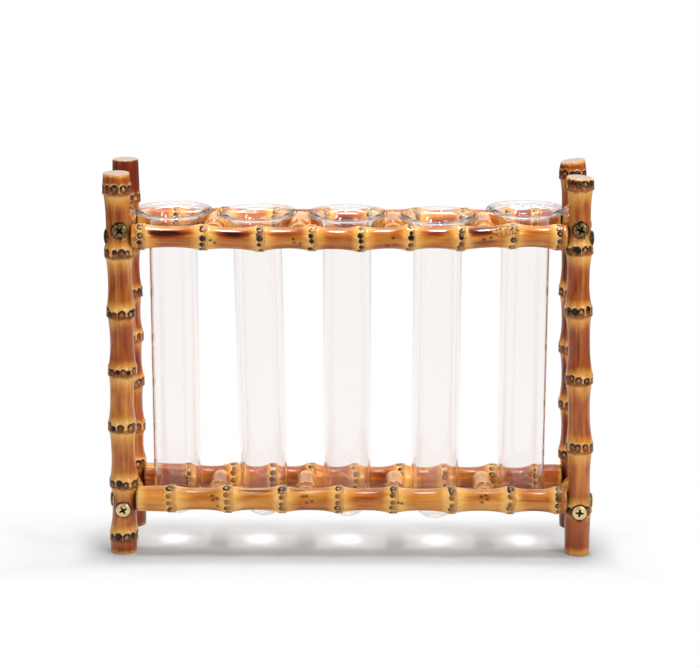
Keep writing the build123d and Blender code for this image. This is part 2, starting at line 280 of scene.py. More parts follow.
class Culm:
    """A root culm that follows a CAD node: hollow sides, and at each ring a collar of root scars."""

    def __init__(self, node, along, front, waist, scars, scar_radius, flip, seed):
        self.node = node
        self.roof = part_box(node)[1][2] / MM
        self.front = Vector(front)
        self.waist = waist
        self.scars = scars
        self.scar_radius = scar_radius
        self.flip = flip
        self.drop = POST_RING_DROP if abs(Vector(along).z) > 0.5 else 0.0
        self.band = 1.0 if self.drop else RAIL_BAND
        self.crease_shade = 1.0 if self.drop else RAIL_CREASE_SHADE
        self.pale_joint = node.startswith("divider_top")
        self.rng = np.random.default_rng(SEED + seed)
        self.seed = seed
        self.warts = []
        points = node_points(node)
        self.set_axis(points, Vector(along))
        self.set_rings(points)

    def set_axis(self, points, along):
        """Find the culm's axis between the middles of its two ends."""
        low = points.min(0)
        high = points.max(0)
        middle = (low + high) / 2
        way = int(np.argmax(np.abs(along)))
        start = middle.copy()
        start[way] = low[way]
        end = middle.copy()
        end[way] = high[way]
        if way == 2:
            foot = points[points[:, 2] < low[2] + 0.05]
            start[:2] = ((foot.min(0) + foot.max(0)) / 2)[:2]
            head = points[points[:, 2] > high[2] - 20]
            left = head[np.argmin(head[:, 0])]
            right = head[np.argmax(head[:, 0])]
            collar = (left + right) / 2
            slope = (collar[0] - start[0]) / (collar[2] - start[2])
            tilt = math.radians(abs(CUT_TILTS.get(self.node, 0)))
            end[2] = high[2] - self.waist * math.sin(tilt)
            end[0] = start[0] + slope * (end[2] - start[2])
            end[1] = start[1]
        self.start = Vector(start)
        self.end = Vector(end)
        self.axis = (self.end - self.start).normalized()
        if way != 2:
            self.start -= self.axis * JOINT_REACH
            self.end += self.axis * JOINT_REACH
        self.length = (self.end - self.start).length
        self.side = UP.copy() if way == 0 else RIGHT.copy()
        self.front = (self.front - self.axis * self.front.dot(self.axis)).normalized()
        self.side = (self.side - self.axis * self.side.dot(self.axis)).normalized()

    def set_rings(self, points):
        """Find each ring's place along the culm, and the collar's radius."""
        offset = points - np.array(self.start)
        place = offset @ np.array(self.axis)
        reach = np.linalg.norm(offset - np.outer(place, np.array(self.axis)), axis=1)
        self.ring = float(np.percentile(reach, 99.5))
        self.shoulder = self.ring - RING_SHOULDER
        places = np.sort(place[reach > self.shoulder + 0.2])
        breaks = np.where(np.diff(places) > 3)[0]
        groups = np.split(places, breaks + 1)
        shift = -RING_SHIFT if self.flip else RING_SHIFT
        self.rings = [float((g.min() + g.max()) / 2) + shift for g in groups]

    def hollow(self, place):
        """The plain radius at each place: hollow between collars, tapering to the cut ends."""
        half = RING_HEIGHT / 2
        radius = np.full_like(place, self.shoulder)
        for low, high in zip(self.rings, self.rings[1:]):
            span = (high - low) / 2 - half
            offset = place - (low + high) / 2
            inside = np.abs(offset) < span
            flare = np.clip(np.abs(offset) / span, 0, 1) ** HOLLOW_POWER
            curve = self.waist + (self.shoulder - self.waist) * flare
            radius = np.where(inside, curve, radius)
        first = max(self.rings[0] - half, 0.5)
        last = min(self.rings[-1] + half, self.length - 0.5)
        radius = np.where(place < first, self.shoulder - CUT_TAPER * (1 - place / first), radius)
        beyond = (place - last) / (self.length - last)
        return np.where(place > last, self.shoulder - CUT_TAPER * beyond, radius)

    def rows(self):
        """Where the rows of the mesh lie along the culm, finer at the rings."""
        half = RING_HEIGHT / 2
        marks = [0.0, CUT_BEVEL, self.length - CUT_BEVEL, self.length]
        fine = [(ring - half - 1.4, ring + half + 1.2) for ring in self.rings]
        fine += self.warts
        here = CUT_BEVEL
        while here < self.length - CUT_BEVEL:
            marks.append(here)
            near = any(low < here < high for low, high in fine)
            here += FINE_STEP if near else COARSE_STEP
        marks = sorted(set(marks))
        kept = [marks[0]]
        for mark in marks[1:]:
            if mark - kept[-1] > FINE_STEP / 4:
                kept.append(mark)
        kept[-1] = self.length
        return np.array(kept)

    def internode(self, place):
        """The number of the internode at each place, and the share along it."""
        edges = [0.0, *self.rings, self.length]
        number = np.clip(np.searchsorted(edges, place) - 1, 0, len(edges) - 2)
        low = np.array(edges)[number]
        high = np.array(edges)[number + 1]
        return number, (place - low) / (high - low)

    def scatter_scars(self, placed):
        """The root scars of one ring: the ones listed, and more round the rest of it."""
        rng = self.rng
        scars = list(placed)
        turns = [scar_and_shade[0] for scar_and_shade in placed]
        start = rng.uniform(0, 360 / self.scars)
        for number in range(self.scars):
            turn = start + 360 * number / self.scars + rng.uniform(-6, 6)
            turn = (turn + 180) % 360 - 180
            rise = rng.uniform(-0.6, 0.3)
            size = self.scar_radius * rng.uniform(0.8, 1.2)
            brow = rng.uniform(0.3, 1.0)
            fill = rng.choice((0.1, 0.3, 0.6, 0.9))
            painted_glint = rng.choice((0.0, 0.0, 0.4, 0.8))
            room = math.degrees(1.15 * size / self.ring)
            if all(abs((turn - other + 180) % 360 - 180) > room for other in turns):
                scars.append((turn, rise, size, brow, fill * brow, painted_glint * (1 - fill)))
                turns.append(turn)
        return scars

    def draw_scars(self, placed, growth, angle, scallop):
        """The scars of one ring: the scallops they lift, their dent, and their dark marks (partly painted shade
        under the lip), cores and painted glints.
        """
        dent, dark, core, painted_glint = (np.zeros_like(growth) for _ in range(4))
        for turn, rise, size, brow, fill, shine in self.scatter_scars(placed):
            rise = min(max(rise, SCAR_RISE[0]), SCAR_RISE[1])
            across = self.ring * apart(angle, math.radians(turn))
            above = growth - rise
            reach = np.hypot(across, above * 0.94) / size
            upward = smooth(above / size, -0.4, 0.45)
            near = np.abs(across) < size * 1.5
            arch = np.sqrt(np.clip((size * SCAR_ARCH) ** 2 - across ** 2, 0, None))
            arch = RING_HEIGHT / 2 + self.drop + rise + arch
            scallop = np.where(np.abs(across) < size * 1.12, np.maximum(scallop, arch), scallop)
            groove = bump(reach - 0.92, 0.16) * (0.35 + 0.65 * upward)
            relief = SCAR_GROOVE * groove - SCAR_DOME * bump(reach, 0.55)
            dent += np.where(near, relief + SCAR_PIT * (fill * bump(reach, 0.35)), 0)
            # The dark ring and the brow are strongest on the upper half, under the scalloped lip: partly the
            # scar's own dark rim, partly painted shade
            line = (0.3 + 0.75 * brow) * bump(reach - 1.02, 0.2) * (0.6 + 0.4 * upward)
            arc = 1.8 * brow * bump(reach - 0.84, 0.27) * upward
            blot = 1.15 * fill * (1 - smooth(reach, 0.6, 1.0))
            dark = np.maximum(dark, np.where(near, np.maximum(np.maximum(line, arc), blot), 0))
            core = np.maximum(core, np.where(near, (1 - fill) * (1 - smooth(reach, 0.3, 0.8)), 0))
            # A painted glint: a pale spot in the scar that stands in for a reflection
            glint = 0.85 * shine * bump(reach - 0.05, 0.27)
            painted_glint = np.maximum(painted_glint, np.where(near, glint, 0))
        return scallop, dent, dark, core, painted_glint

    def carve_ring(self, ring, placed, place, angle, radius, masks):
        """Raise one collar: a wavy ledge, a scalloped lip and a row of root scars."""
        rng = self.rng
        growth = (ring - place) if self.flip else (place - ring)
        ripple = LEDGE_WAVE * wave(angle, rng)
        height = growth + RING_HEIGHT / 2 + self.drop + ripple
        top = RING_HEIGHT + self.drop
        scallop = np.full_like(place, SCALLOP_HEIGHT) + SCALLOP_WAVE * wave(angle, rng, (3, 7, 11))
        scallop, dent, dark, core, painted_glint = self.draw_scars(placed, growth, angle, scallop)
        on_ledge = smooth(height, 0, LEDGE_RISE)
        below_lip = 1 - smooth(height, scallop - 0.12, scallop + 0.14)
        above_top = smooth(height, top - 1.6, top + 0.3)
        collar = on_ledge * below_lip
        outer = self.ring - SCALLOP_STEP * below_lip * smooth(height, 0.6, 3.0) - dent * collar
        window = (height > -2) & (height < top + 1.5)
        new = radius + (outer - radius) * (on_ledge * (1 - above_top))
        new -= UNDERCUT * bump(height + 0.28, 0.3)
        radius = np.where(window, np.minimum(new, self.ring), radius)
        # Painted shade: a dark line in the crease under the ledge, and another along the step of the scalloped lip
        crease_shade = 0.85 * bump(height + 0.12, 0.26) * (0.8 + 0.2 * wave(angle, rng, (4, 9)))
        edge = 0.55 * bump(height - scallop - 0.05, 0.17) * on_ledge
        drawn = {
            "collar": collar * self.band, "scar_and_shade": np.clip(1.25 * dark, 0, 1) * collar, "core": core * collar,
            "painted_glint": painted_glint * collar, "crease_shade": np.clip(np.maximum(crease_shade * self.crease_shade, edge), 0, 1),
            "lip": bump(height - scallop - 0.34, 0.34) * on_ledge}
        for name, mask in drawn.items():
            raise_mask(masks, name, np.where(window, mask, 0))
        return radius

    def burn_and_shade(self, place, angle, burns_and_shade):
        """The scorched streaks of the internodes and the painted shade along the front rails' undersides, as
        listed where the photo shows them.
        """
        number, share = self.internode(place)
        total = np.zeros_like(place)
        rng = self.rng
        for index in range(len(self.rings) + 1):
            spots = burns_and_shade.get(index)
            if spots is None:
                spots = []
                for _ in range(3):
                    spots.append((
                        rng.uniform(-180, 180), rng.uniform(16, 42),
                        rng.uniform(0.4, 0.65), rng.uniform(0.22, 0.42), rng.uniform(0.3, 0.8)))
            for turn, width, centre, reach, strength in spots:
                off = np.degrees(apart(angle, math.radians(turn)))
                spot = strength * bump(off, width) * bump(share - centre, reach)
                if reach < WHOLE_BURN:
                    spot = spot * smooth(share, 0.03, 0.22) * (1 - smooth(share, 0.80, 0.98))
                total = np.maximum(total, np.where(number == index, spot, 0))
        return total

    def locate(self, pin):
        """A pin head's place along the culm, and its way out from the bowed middle line."""
        offset = Vector(pin.head) - self.start
        at = offset.dot(self.axis)
        return at, offset - self.axis * at - self.side * float(self.bow(np.array(at)))

    def bow(self, place):
        """How far the culm's middle line strays towards its side, as listed where the photo shows it."""
        marks = BOWS.get(self.node)
        if not marks:
            return np.zeros_like(place, float)
        places, strays = zip(*marks)
        spread = np.linspace(-BOW_BLUR, BOW_BLUR, 7)
        return sum(np.interp(place + shift, places, strays) for shift in spread) / len(spread)

    def cut_seat(self, pin, place, angle, radius, masks):
        """Sink a flat seat for a screw head into the culm's side."""
        at, out = self.locate(pin)
        turn = math.atan2(out.dot(self.side), out.dot(self.front))
        seat = out.length - HEAD_HEIGHT
        off = angle - turn
        across = radius * np.sin(off)
        far = np.hypot(across, place - at)
        facing = np.cos(off) > 0.3
        floor = seat / np.maximum(np.cos(off), 0.3)
        room = HEAD_RADIUS + SEAT_ROOM
        inside = facing * (1 - smooth(far, room - 0.12, room + 0.12))
        radius = np.where(floor < radius, radius + (floor - radius) * inside, radius)
        # Painted shade: a dark ring in the gap just round the screw head, and a fainter, wider darkening round
        # that
        raise_mask(masks, "stain_and_shade", facing * bump(far - room, 0.28))
        raise_mask(masks, "stain_and_shade", facing * 0.3 * bump(np.maximum(far - room, 0), 0.9))
        return radius

    def stain_brad(self, pin, place, angle, radius, masks):
        """Darken the wood round a brad and dimple it."""
        at, out = self.locate(pin)
        turn = math.atan2(out.dot(self.side), out.dot(self.front))
        far = np.hypot(radius * apart(angle, turn), place - at)
        raise_mask(masks, "stain_and_shade", 0.9 * bump(far, 0.75))
        return radius - 0.08 * bump(far, 0.8)

    def add_warts(self, spot, place, angle, radius, masks):
        """A granular patch of small knobs on the culm's side."""
        at, turn, half_length, half_turn, count = spot
        rng = np.random.default_rng(SEED + 900)
        grains = np.zeros_like(place)
        patch = bump((place - at) / half_length, 0.95)
        patch = patch * bump(np.degrees(angle) - turn, half_turn)
        for _ in range(count):
            centre = at + rng.uniform(-1, 1) * half_length
            lean = math.radians(turn + rng.uniform(-1, 1) * half_turn)
            size = rng.uniform(0.4, 0.75)
            across = self.waist * (angle - lean)
            grains = np.maximum(grains, bump(np.hypot(across, place - centre) / size, 0.8))
        masks["wart"] = np.clip(smooth(patch, 0.3, 0.7), 0, 1)
        raise_mask(masks, "core", masks["wart"] * grains)
        raise_mask(masks, "scar_and_shade", masks["wart"] * (1 - grains) * 0.9)
        return radius + masks["wart"] * (0.3 * grains - 0.18)

    def build(self, material, burns_and_shade=None, pins=(), brads=(), warts=None, tone=0.0):
        """Make the culm's mesh and its masks, and let it stand for its node."""
        if warts:
            self.warts = [(warts[0] - warts[2] - 1, warts[0] + warts[2] + 1)]
        rows = self.rows()
        turns = np.arange(ROUND_STEPS) * math.tau / ROUND_STEPS
        turns = np.where(turns > math.pi, turns - math.tau, turns)
        place, angle = np.meshgrid(rows, turns, indexing="ij")
        names = ("collar", "scar_and_shade", "core", "painted_glint", "crease_shade", "lip", "stain_and_shade", "wart")
        masks = {name: np.zeros_like(place) for name in names}
        radius = self.hollow(place)
        skin = SKIN_WAVE * wave(angle, self.rng, (2, 3)) * np.sin(place / SKIN_LENGTH + self.seed)
        radius = radius + skin - SKIN_SINK
        placed = SCARS.get(self.node, {})
        for index, ring in enumerate(self.rings):
            radius = self.carve_ring(ring, placed.get(index, []), place, angle, radius, masks)
        if warts:
            radius = self.add_warts(warts, place, angle, radius, masks)
        for pin in pins:
            radius = self.cut_seat(pin, place, angle, radius, masks)
        for brad in brads:
            radius = self.stain_brad(brad, place, angle, radius, masks)
        edge = np.minimum(place, self.length - place)
        # Painted shade in the joints at the ends of rails and dividers
        if not self.drop:
            share = TOP_DIVIDER_SHADE if self.pale_joint else JOINT_SHADE
            raise_mask(masks, "stain_and_shade", share * bump(edge, 0.55))
        inset = np.clip(CUT_BEVEL - edge, 0, None)
        radius = radius - (CUT_BEVEL - np.sqrt(np.clip(CUT_BEVEL ** 2 - inset ** 2, 0, None)))
        masks["scorch_and_shade"] = self.burn_and_shade(place, angle, burns_and_shade or {})
        number, share = self.internode(place)
        tones = self.rng.uniform(-0.5, 0.5, len(self.rings) + 1) + tone
        for index, given in enumerate(TONES.get(self.node, ())):
            tones[index] = given
        masks["tone"] = tones[number]
        masks["along"] = 1 - share if self.flip else share
        masks["cut"] = np.zeros_like(place)
        grids = self.cap(place, angle, radius, masks)
        self.make_mesh(*grids, material)

    def cap(self, place, angle, radius, masks):
        """Close both ends with rows that run in to the middle."""
        shares = np.linspace(0, 1, CAP_STEPS + 1)[1:-1] ** 0.8
        shares = np.concatenate(([0.004], shares))[:, None]
        turns = np.repeat(angle[:1], len(shares), 0)
        low = [np.repeat(place[:1], len(shares), 0), turns, shares * radius[:1]]
        high = [np.repeat(place[-1:], len(shares), 0), turns, shares[::-1] * radius[-1:]]
        grids = [np.concatenate(parts) for parts in zip(low, (place, angle, radius), high)]
        capped = {}
        for name, mask in masks.items():
            ends = np.zeros((len(shares), mask.shape[1]))
            # The sawn ends of posts are pale; the hidden butt ends of rails and dividers get painted shade
            if name == ("cut" if self.drop else "stain_and_shade"):
                ends = ends + (TOP_DIVIDER_SHADE if self.pale_joint else 1)
            if name == "tone":
                ends = ends + mask[0].mean()
            capped[name] = np.concatenate((ends, mask, ends))
        rim = len(shares)
        if self.drop:
            capped["cut"][rim] = 0.6
            capped["cut"][-rim - 1] = 0.6
        return grids + [capped]

    def trim(self, place, angle, radius):
        """Move the rows at a post's ends onto the floor and onto its sawn top."""
        if abs(self.axis.z) < 0.9:
            return place
        out_z = radius * (self.front.z * np.cos(angle) + self.side.z * np.sin(angle))
        foot = -out_z / self.axis.z
        near_foot = np.clip(1 - place / TRIM_ZONE, 0, 1)
        place = place + foot * near_foot
        tilt = math.radians(CUT_TILTS.get(self.node, 0))
        normal = Vector((math.sin(tilt), 0, math.cos(tilt)))
        slope = radius * (normal.dot(self.front) * np.cos(angle) + normal.dot(self.side) * np.sin(angle))
        top = -slope / normal.dot(self.axis)
        near_top = np.clip(1 - (self.length - place) / TRIM_ZONE, 0, 1)
        return place + top * near_top

    def make_mesh(self, place, angle, radius, masks, material):
        """Turn the rows into a closed mesh in the row frame, with its masks as attributes."""
        place = self.trim(place, angle, radius)
        out = np.cos(angle)[..., None] * np.array(self.front) + np.sin(angle)[..., None] * np.array(self.side)
        points = np.array(self.start) + place[..., None] * np.array(self.axis) + radius[..., None] * out
        points = points + self.bow(place)[..., None] * np.array(self.side)
        points = np.clip(points, np.array(cad_box[0]) / MM, np.array(cad_box[1]) / MM)
        points[..., 2] = np.minimum(points[..., 2], self.roof)
        count, round_count = place.shape
        grid = np.arange(count * round_count).reshape(count, round_count)
        turned = np.roll(grid, -1, 1)
        faces = np.stack((grid[:-1], turned[:-1], turned[1:], grid[1:]), -1).reshape(-1, 4)
        left_handed = self.front.cross(self.side).dot(self.axis) < 0
        if left_handed:
            faces = faces[:, ::-1]
        ends = [grid[0][::-1], grid[-1]]
        if left_handed:
            ends = [end[::-1] for end in ends]
        mesh = bpy.data.meshes.new(self.node + "_culm")
        mesh.from_pydata(
            (points.reshape(-1, 3) * MM).tolist(), [], faces.tolist() + [end.tolist() for end in ends])
        mesh.polygons.foreach_set("use_smooth", np.ones(len(mesh.polygons), bool))
        local = np.stack((radius * np.cos(angle), radius * np.sin(angle), place + 300 * self.seed), -1)
        set_field(mesh, "grain_place", local, vector=True)
        for name, mask in masks.items():
            set_field(mesh, name, mask)
        mesh.materials.append(material)
        piece = bpy.data.objects.new(self.node + "_culm", mesh)
        bpy.context.scene.collection.objects.link(piece)
        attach(piece, "rack")
        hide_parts(self.node)


def colour(text):
    """A linear colour from its usual hexadecimal form."""
    shares = [int(text[index:index + 2], 16) / 255 for index in (1, 3, 5)]
    linear = [s / 12.92 if s <= 0.04045 else ((s + 0.055) / 1.055) ** 2.4 for s in shares]
    return (*linear, 1.0)


class Graph:
    """A node tree and short ways to wire its nodes."""

    def __init__(self, owner):
        owner.use_nodes = True
        self.tree = owner.node_tree

    def new(self, kind):
        """A new node."""
        return self.tree.nodes.new(kind)

    def link(self, value, socket):
        """Join a node's output, or give a plain value, to an input."""
        if isinstance(value, bpy.types.NodeSocket):
            self.tree.links.new(value, socket)
        elif value is not None:
            socket.default_value = value

    def give(self, node, values):
        """Give values to a node's inputs by name."""
        for name, value in values.items():
            self.link(value, node.inputs[name])

    def maths(self, kind, first, second=None, clamp=False):
        """A Math node."""
        node = self.new("ShaderNodeMath")
        node.operation = kind
        node.use_clamp = clamp
        self.link(first, node.inputs[0])
        self.link(second, node.inputs[1])
        return node.outputs[0]

    def times(self, first, second):
        """A product."""
        return self.maths("MULTIPLY", first, second)

    def sway(self, total, noise, amount):
        """Add a noise round zero, times an amount."""
        return self.maths("ADD", total, self.times(self.maths("SUBTRACT", noise, 0.5), amount))

    def mix(self, share, first, second):
        """A colour Mix node."""
        node = self.new("ShaderNodeMix")
        node.data_type = "RGBA"
        node.clamp_factor = True
        self.give(node, {"Factor": share, "A": first, "B": second})
        return node.outputs["Result"]

    def layer(self, base, layers):
        """Mix colours over a base in turn, each by its share."""
        for share, paint in layers:
            base = self.mix(share, base, colour(paint))
        return base

    def field(self, name, vector=False):
        """A mesh attribute."""
        node = self.new("ShaderNodeAttribute")
        node.attribute_name = name
        return node.outputs["Vector" if vector else "Fac"]

    def stretch(self, vector, scale):
        """A vector times a scale for each axis."""
        node = self.new("ShaderNodeVectorMath")
        node.operation = "MULTIPLY"
        self.link(vector, node.inputs[0])
        node.inputs[1].default_value = scale
        return node.outputs[0]

    def noise(self, vector, scale, detail=3.0, rough=0.55):
        """A Noise Texture node's value."""
        node = self.new("ShaderNodeTexNoise")
        self.give(node, {"Vector": vector, "Scale": scale, "Detail": detail, "Roughness": rough})
        return node.outputs["Fac"]

    def step(self, value, low, high, bottom=0.0, top=1.0, kind="SMOOTHSTEP"):
        """A step between two values, soft unless another kind is given."""
        node = self.new("ShaderNodeMapRange")
        node.interpolation_type = kind
        self.give(node, {"Value": value, "From Min": low, "From Max": high, "To Min": bottom, "To Max": top})
        return node.outputs["Result"]

    def bump(self, height, strength, distance):
        """A Bump node's normal, with its distance in millimetres."""
        node = self.new("ShaderNodeBump")
        self.give(node, {"Strength": strength, "Distance": distance * MM, "Height": height})
        return node.outputs["Normal"]

    def mirrored(self):
        """1 for mirror rays that have been through no glass, which Cycles counts as glossy too."""
        rays = self.new("ShaderNodeLightPath").outputs
        return self.maths("SUBTRACT", rays["Is Glossy Ray"], rays["Transmission Depth"], clamp=True)

    def seen_directly(self):
        """1 for camera, mirror and glass rays, which see the white background itself."""
        rays = self.new("ShaderNodeLightPath").outputs
        total = rays["Is Camera Ray"]
        for name in ("Is Glossy Ray", "Is Transmission Ray"):
            total = self.maths("MAXIMUM", total, rays[name])
        return total


class Paint(Graph):
    """A material's node tree, with its shader and its output."""

    def __init__(self, name):
        self.material = bpy.data.materials.new(name)
        super().__init__(self.material)
        self.shader = self.tree.nodes["Principled BSDF"]
        self.output = self.tree.nodes["Material Output"]

    def show_either(self, share, other):
        """Mix another shader over the material's own and show the mix."""
        both = self.new("ShaderNodeMixShader")
        for index, value in enumerate((share, self.shader.outputs[0], other.outputs[0])):
            self.link(value, both.inputs[index])
        self.link(both.outputs[0], self.output.inputs["Surface"])


def bamboo_material():
    """Lacquered root bamboo: golden at the rings, scorched between, with dark scars and pale sawn ends; painted
    shade darkens its creases, joints, scar brows and the front rails' undersides, and painted glints light some
    scars.
    """
    g = Paint("lacquered_root_bamboo")
    place = g.field("grain_place", vector=True)
    fibre = g.noise(g.stretch(place, (1.0, 1.0, 0.035)), 1.5, 4.0, 0.6)
    streak = g.noise(g.stretch(place, (1.0, 1.0, 0.045)), 0.42, 2.0)
    mottle = g.noise(g.stretch(place, (1.0, 1.0, 0.4)), 0.16, 3.0)
    speck = g.noise(g.stretch(place, (1.0, 1.0, 0.5)), 2.6, 2.0, 0.7)
    along = g.field("along")
    away = g.times(g.step(along, 0.04, 0.22), g.step(along, 0.62, 0.97, 1.0, 0.0))
    warmth = g.maths("ADD", away, g.times(g.field("tone"), 0.4))
    warmth = g.sway(g.sway(warmth, streak, 1.2), mottle, 1.2)
    scorch_and_shade = g.sway(g.sway(g.field("scorch_and_shade"), streak, 0.5), fibre, 0.35)
    base = g.mix(g.step(warmth, -0.15, 0.9), colour("#E8B05E"), colour("#CE8636"))
    base = g.layer(base, (
        (g.step(warmth, 0.65, 1.5), "#9E4C1E"),
        # Scorched streaks, and painted shade along the front rails' undersides
        (g.step(scorch_and_shade, 0.14, 0.6), "#7E2C12"),
        (g.step(scorch_and_shade, 0.5, 0.95), "#2A0906"),
        (g.step(fibre, 0.4, 0.85, 0.0, 0.28), "#7A3410"),
        (g.step(speck, 0.62, 0.8, 0.0, 0.25), "#E8B060"),
        (g.times(g.field("collar"), g.step(speck, 0.3, 0.65, 0.6, 1.0)), "#7E3C14"),
        (g.times(g.field("lip"), 0.7), "#EDB45C"),
        (g.times(g.field("core"), 0.9), "#86431C"),
        # Painted shade in the creases under the ledges and lips
        (g.field("crease_shade"), "#54220C"),
        # Dark scars, with painted shade under the lips
        (g.field("scar_and_shade"), "#140604"),
        # Painted glints in the scars
        (g.field("painted_glint"), "#EED2AE"),
        (g.times(g.field("wart"), g.field("core")), "#CC9040"),
        # Dark stains round brads, and painted shade in the joints and round the screw heads
        (g.field("stain_and_shade"), "#120806")))
    pores = g.noise(place, 2.2, 2.0, 0.7)
    sawn = g.mix(g.step(pores, 0.45, 0.72), colour("#A88A70"), colour("#8E6C54"))
    rough = g.step(g.noise(place, 0.5, 3.0), 0.3, 0.7, 0.26, 0.4)
    relief = g.maths("ADD", g.times(fibre, 0.6), g.times(speck, 0.35))
    relief = g.maths("ADD", relief, g.times(mottle, 1.4))
    g.give(g.shader, {
        "Base Color": g.mix(g.field("cut"), base, sawn),
        "Roughness": g.maths("ADD", rough, g.times(g.field("cut"), 0.3), clamp=True),
        "Normal": g.bump(relief, 0.35, 0.22),
        "Specular IOR Level": 0.0, "Coat Weight": 1.0, "Coat Roughness": 0.19, "Coat IOR": 1.45})
    return g.material


def metal_material(name, face, edge, groove, roughness):
    """Screw metal with fine turned rings, darker in its recess and at its skirt."""
    g = Paint(name)
    place = g.field("head_place", vector=True)
    rings = g.new("ShaderNodeTexWave")
    rings.wave_type = "RINGS"
    rings.rings_direction = "Z"
    g.give(rings, {"Vector": place, "Scale": 1.1, "Distortion": 0.6})
    blotch = g.noise(place, 0.7, 3.0)
    base = g.layer(g.mix(g.step(blotch, 0.35, 0.7), colour(face), colour(edge)), (
        (g.times(rings.outputs["Fac"], 0.18), groove), (g.field("rim"), groove),
        (g.field("bright"), edge), (g.field("recess"), "#0B0908")))
    g.give(g.shader, {
        "Base Color": base, "Metallic": 0.75,
        "Roughness": g.step(blotch, 0.3, 0.7, roughness, roughness + 0.14),
        "Normal": g.bump(rings.outputs["Fac"], 0.25, 0.05)})
    return g.material


def pin_material():
    """Dark steel of the brads."""
    g = Paint("dark_pin_steel")
    tarnish = g.noise(g.field("head_place", vector=True), 3.0, 3.0)
    g.give(g.shader, {
        "Base Color": g.mix(g.step(tarnish, 0.3, 0.7), colour("#120C0A"), colour("#2E1D14")),
        "Roughness": g.step(tarnish, 0.3, 0.7, 0.4, 0.65), "Metallic": 0.6})
    return g.material


def glass_material():
    """Clear glass that lets the lamps' light through to the wood and the floor, with painted dark lines along the
    edges of its bead that stand in for dark surroundings seen in the glass.
    """
    g = Paint("clear_glass")
    place = g.field("head_place", vector=True)
    ripple = g.noise(g.stretch(place, (1.0, 1.0, 0.3)), 0.09, 2.0)
    facing = g.new("ShaderNodeLayerWeight")
    facing.inputs["Blend"].default_value = 0.5
    edge = g.step(facing.outputs["Facing"], 0.45, 0.95)
    wall = g.mix(ripple, colour("#F9F4F2"), colour("#FBF6F4"))
    tint = g.mix(g.field("wall"), colour("#FFFFFF"), wall)
    # Painted dark lines where the bead is seen edge-on, standing in for dark surroundings seen in the glass
    line = g.times(g.field("bead"), g.step(facing.outputs["Facing"], 0.68, 0.92))
    outline = g.mix(line, colour("#FFFFFF"), colour("#55604F"))
    g.link(tint, g.shader.inputs["Base Color"])
    g.link(g.step(ripple, 0.3, 0.7, 0.0, 0.004), g.shader.inputs["Roughness"])
    g.give(g.shader, {"Transmission Weight": 1.0, "IOR": GLASS_IOR})
    rays = g.new("ShaderNodeLightPath")
    clear = g.new("ShaderNodeBsdfTransparent")
    shade = g.mix(edge, colour("#FFFFFF"), colour("#A8A4A2"))
    g.link(g.mix(rays.outputs["Is Shadow Ray"], outline, shade), clear.inputs["Color"])
    deep = g.maths("GREATER_THAN", rays.outputs["Ray Depth"], GLASS_DEPTH)
    through = g.maths("MAXIMUM", rays.outputs["Is Shadow Ray"], deep)
    middle = g.times(g.field("bead"), BEAD_CLEAR)
    g.show_either(g.maths("MAXIMUM", through, middle), clear)
    return g.material


def revolve(profile, steps):
    """The corners and faces of an outline turned about +Z; its ends lie on the axis."""
    turns = [math.tau * index / steps for index in range(steps)]
    corners = [(0.0, 0.0, profile[0][1])]
    for radius, height in profile[1:-1]:
        corners += [(radius * math.cos(turn), radius * math.sin(turn), height) for turn in turns]
    corners.append((0.0, 0.0, profile[-1][1]))
    last = len(corners) - 1
    faces = []
    for index in range(steps):
        after = (index + 1) % steps
        faces.append((0, 1 + after, 1 + index))
        for row in range(len(profile) - 3):
            low = 1 + row * steps
            high = low + steps
            faces.append((low + index, low + after, high + after, high + index))
        low = last - steps
        faces.append((low + index, low + after, last))
    return corners, faces


def arc(centre, radius, start, end, steps):
    """Points on an arc of the outline, its angles in degrees."""
    points = []
    for index in range(steps + 1):
        turn = math.radians(start + (end - start) * index / steps)
        points.append((centre[0] + radius * math.cos(turn), centre[1] + radius * math.sin(turn)))
    return points


def tube_profile():
    """A tube's outline round its lip's middle: out and up, over the bead and back down inside."""
    lip = TUBE_RADIUS + FLARE_RADIUS
    inner = TUBE_RADIUS - TUBE_WALL
    flare_z = -FLARE_RADIUS - TUBE_WALL / 2
    straight = TUBE_LENGTH - TUBE_RADIUS - FLARE_RADIUS - TUBE_WALL / 2 - BEAD_RADIUS
    round_z = flare_z - straight
    outside = arc((0, round_z), TUBE_RADIUS, -90, 0, ROUND_END_STEPS)
    outside += [(TUBE_RADIUS, round_z + straight * share) for share in BODY_SHARES]
    outside += arc((lip, flare_z), FLARE_RADIUS, 180, 92, FLARE_STEPS)
    neck = math.degrees(math.asin(TUBE_WALL / 2 / BEAD_RADIUS))
    bead = arc((lip, 0), BEAD_RADIUS, -180 + neck, 180 - neck, BEAD_STEPS)
    inside = arc((lip, flare_z), FLARE_RADIUS + TUBE_WALL, 92, 180, FLARE_STEPS)
    inside += [(inner, flare_z - straight * share) for share in BODY_SHARES]
    inside += arc((0, round_z), inner, 0, -90, ROUND_END_STEPS)
    return outside + bead + inside


def add_piece(name, corners, faces, materials, body, nodes, place=Matrix.Identity(4), sharp=None):
    """Make an object of a mesh given in millimetres, put it in its place and tie it to its body."""
    mesh = bpy.data.meshes.new(name)
    mesh.from_pydata([(place @ Vector(corner)) * MM for corner in corners], [], faces)
    mesh.polygons.foreach_set("use_smooth", [True] * len(mesh.polygons))
    if sharp:
        mesh.set_sharp_from_angle(angle=math.radians(sharp))
    for material in materials:
        mesh.materials.append(material)
    piece = bpy.data.objects.new(name, mesh)
    bpy.context.scene.collection.objects.link(piece)
    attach(piece, body)
    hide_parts(*nodes)
    return piece


def set_field(mesh, name, values, vector=False):
    """Write a mesh attribute."""
    field = mesh.attributes.new(name, "FLOAT_VECTOR" if vector else "FLOAT", "POINT")
    field.data.foreach_set("vector" if vector else "value", np.asarray(values, np.float32).reshape(-1))


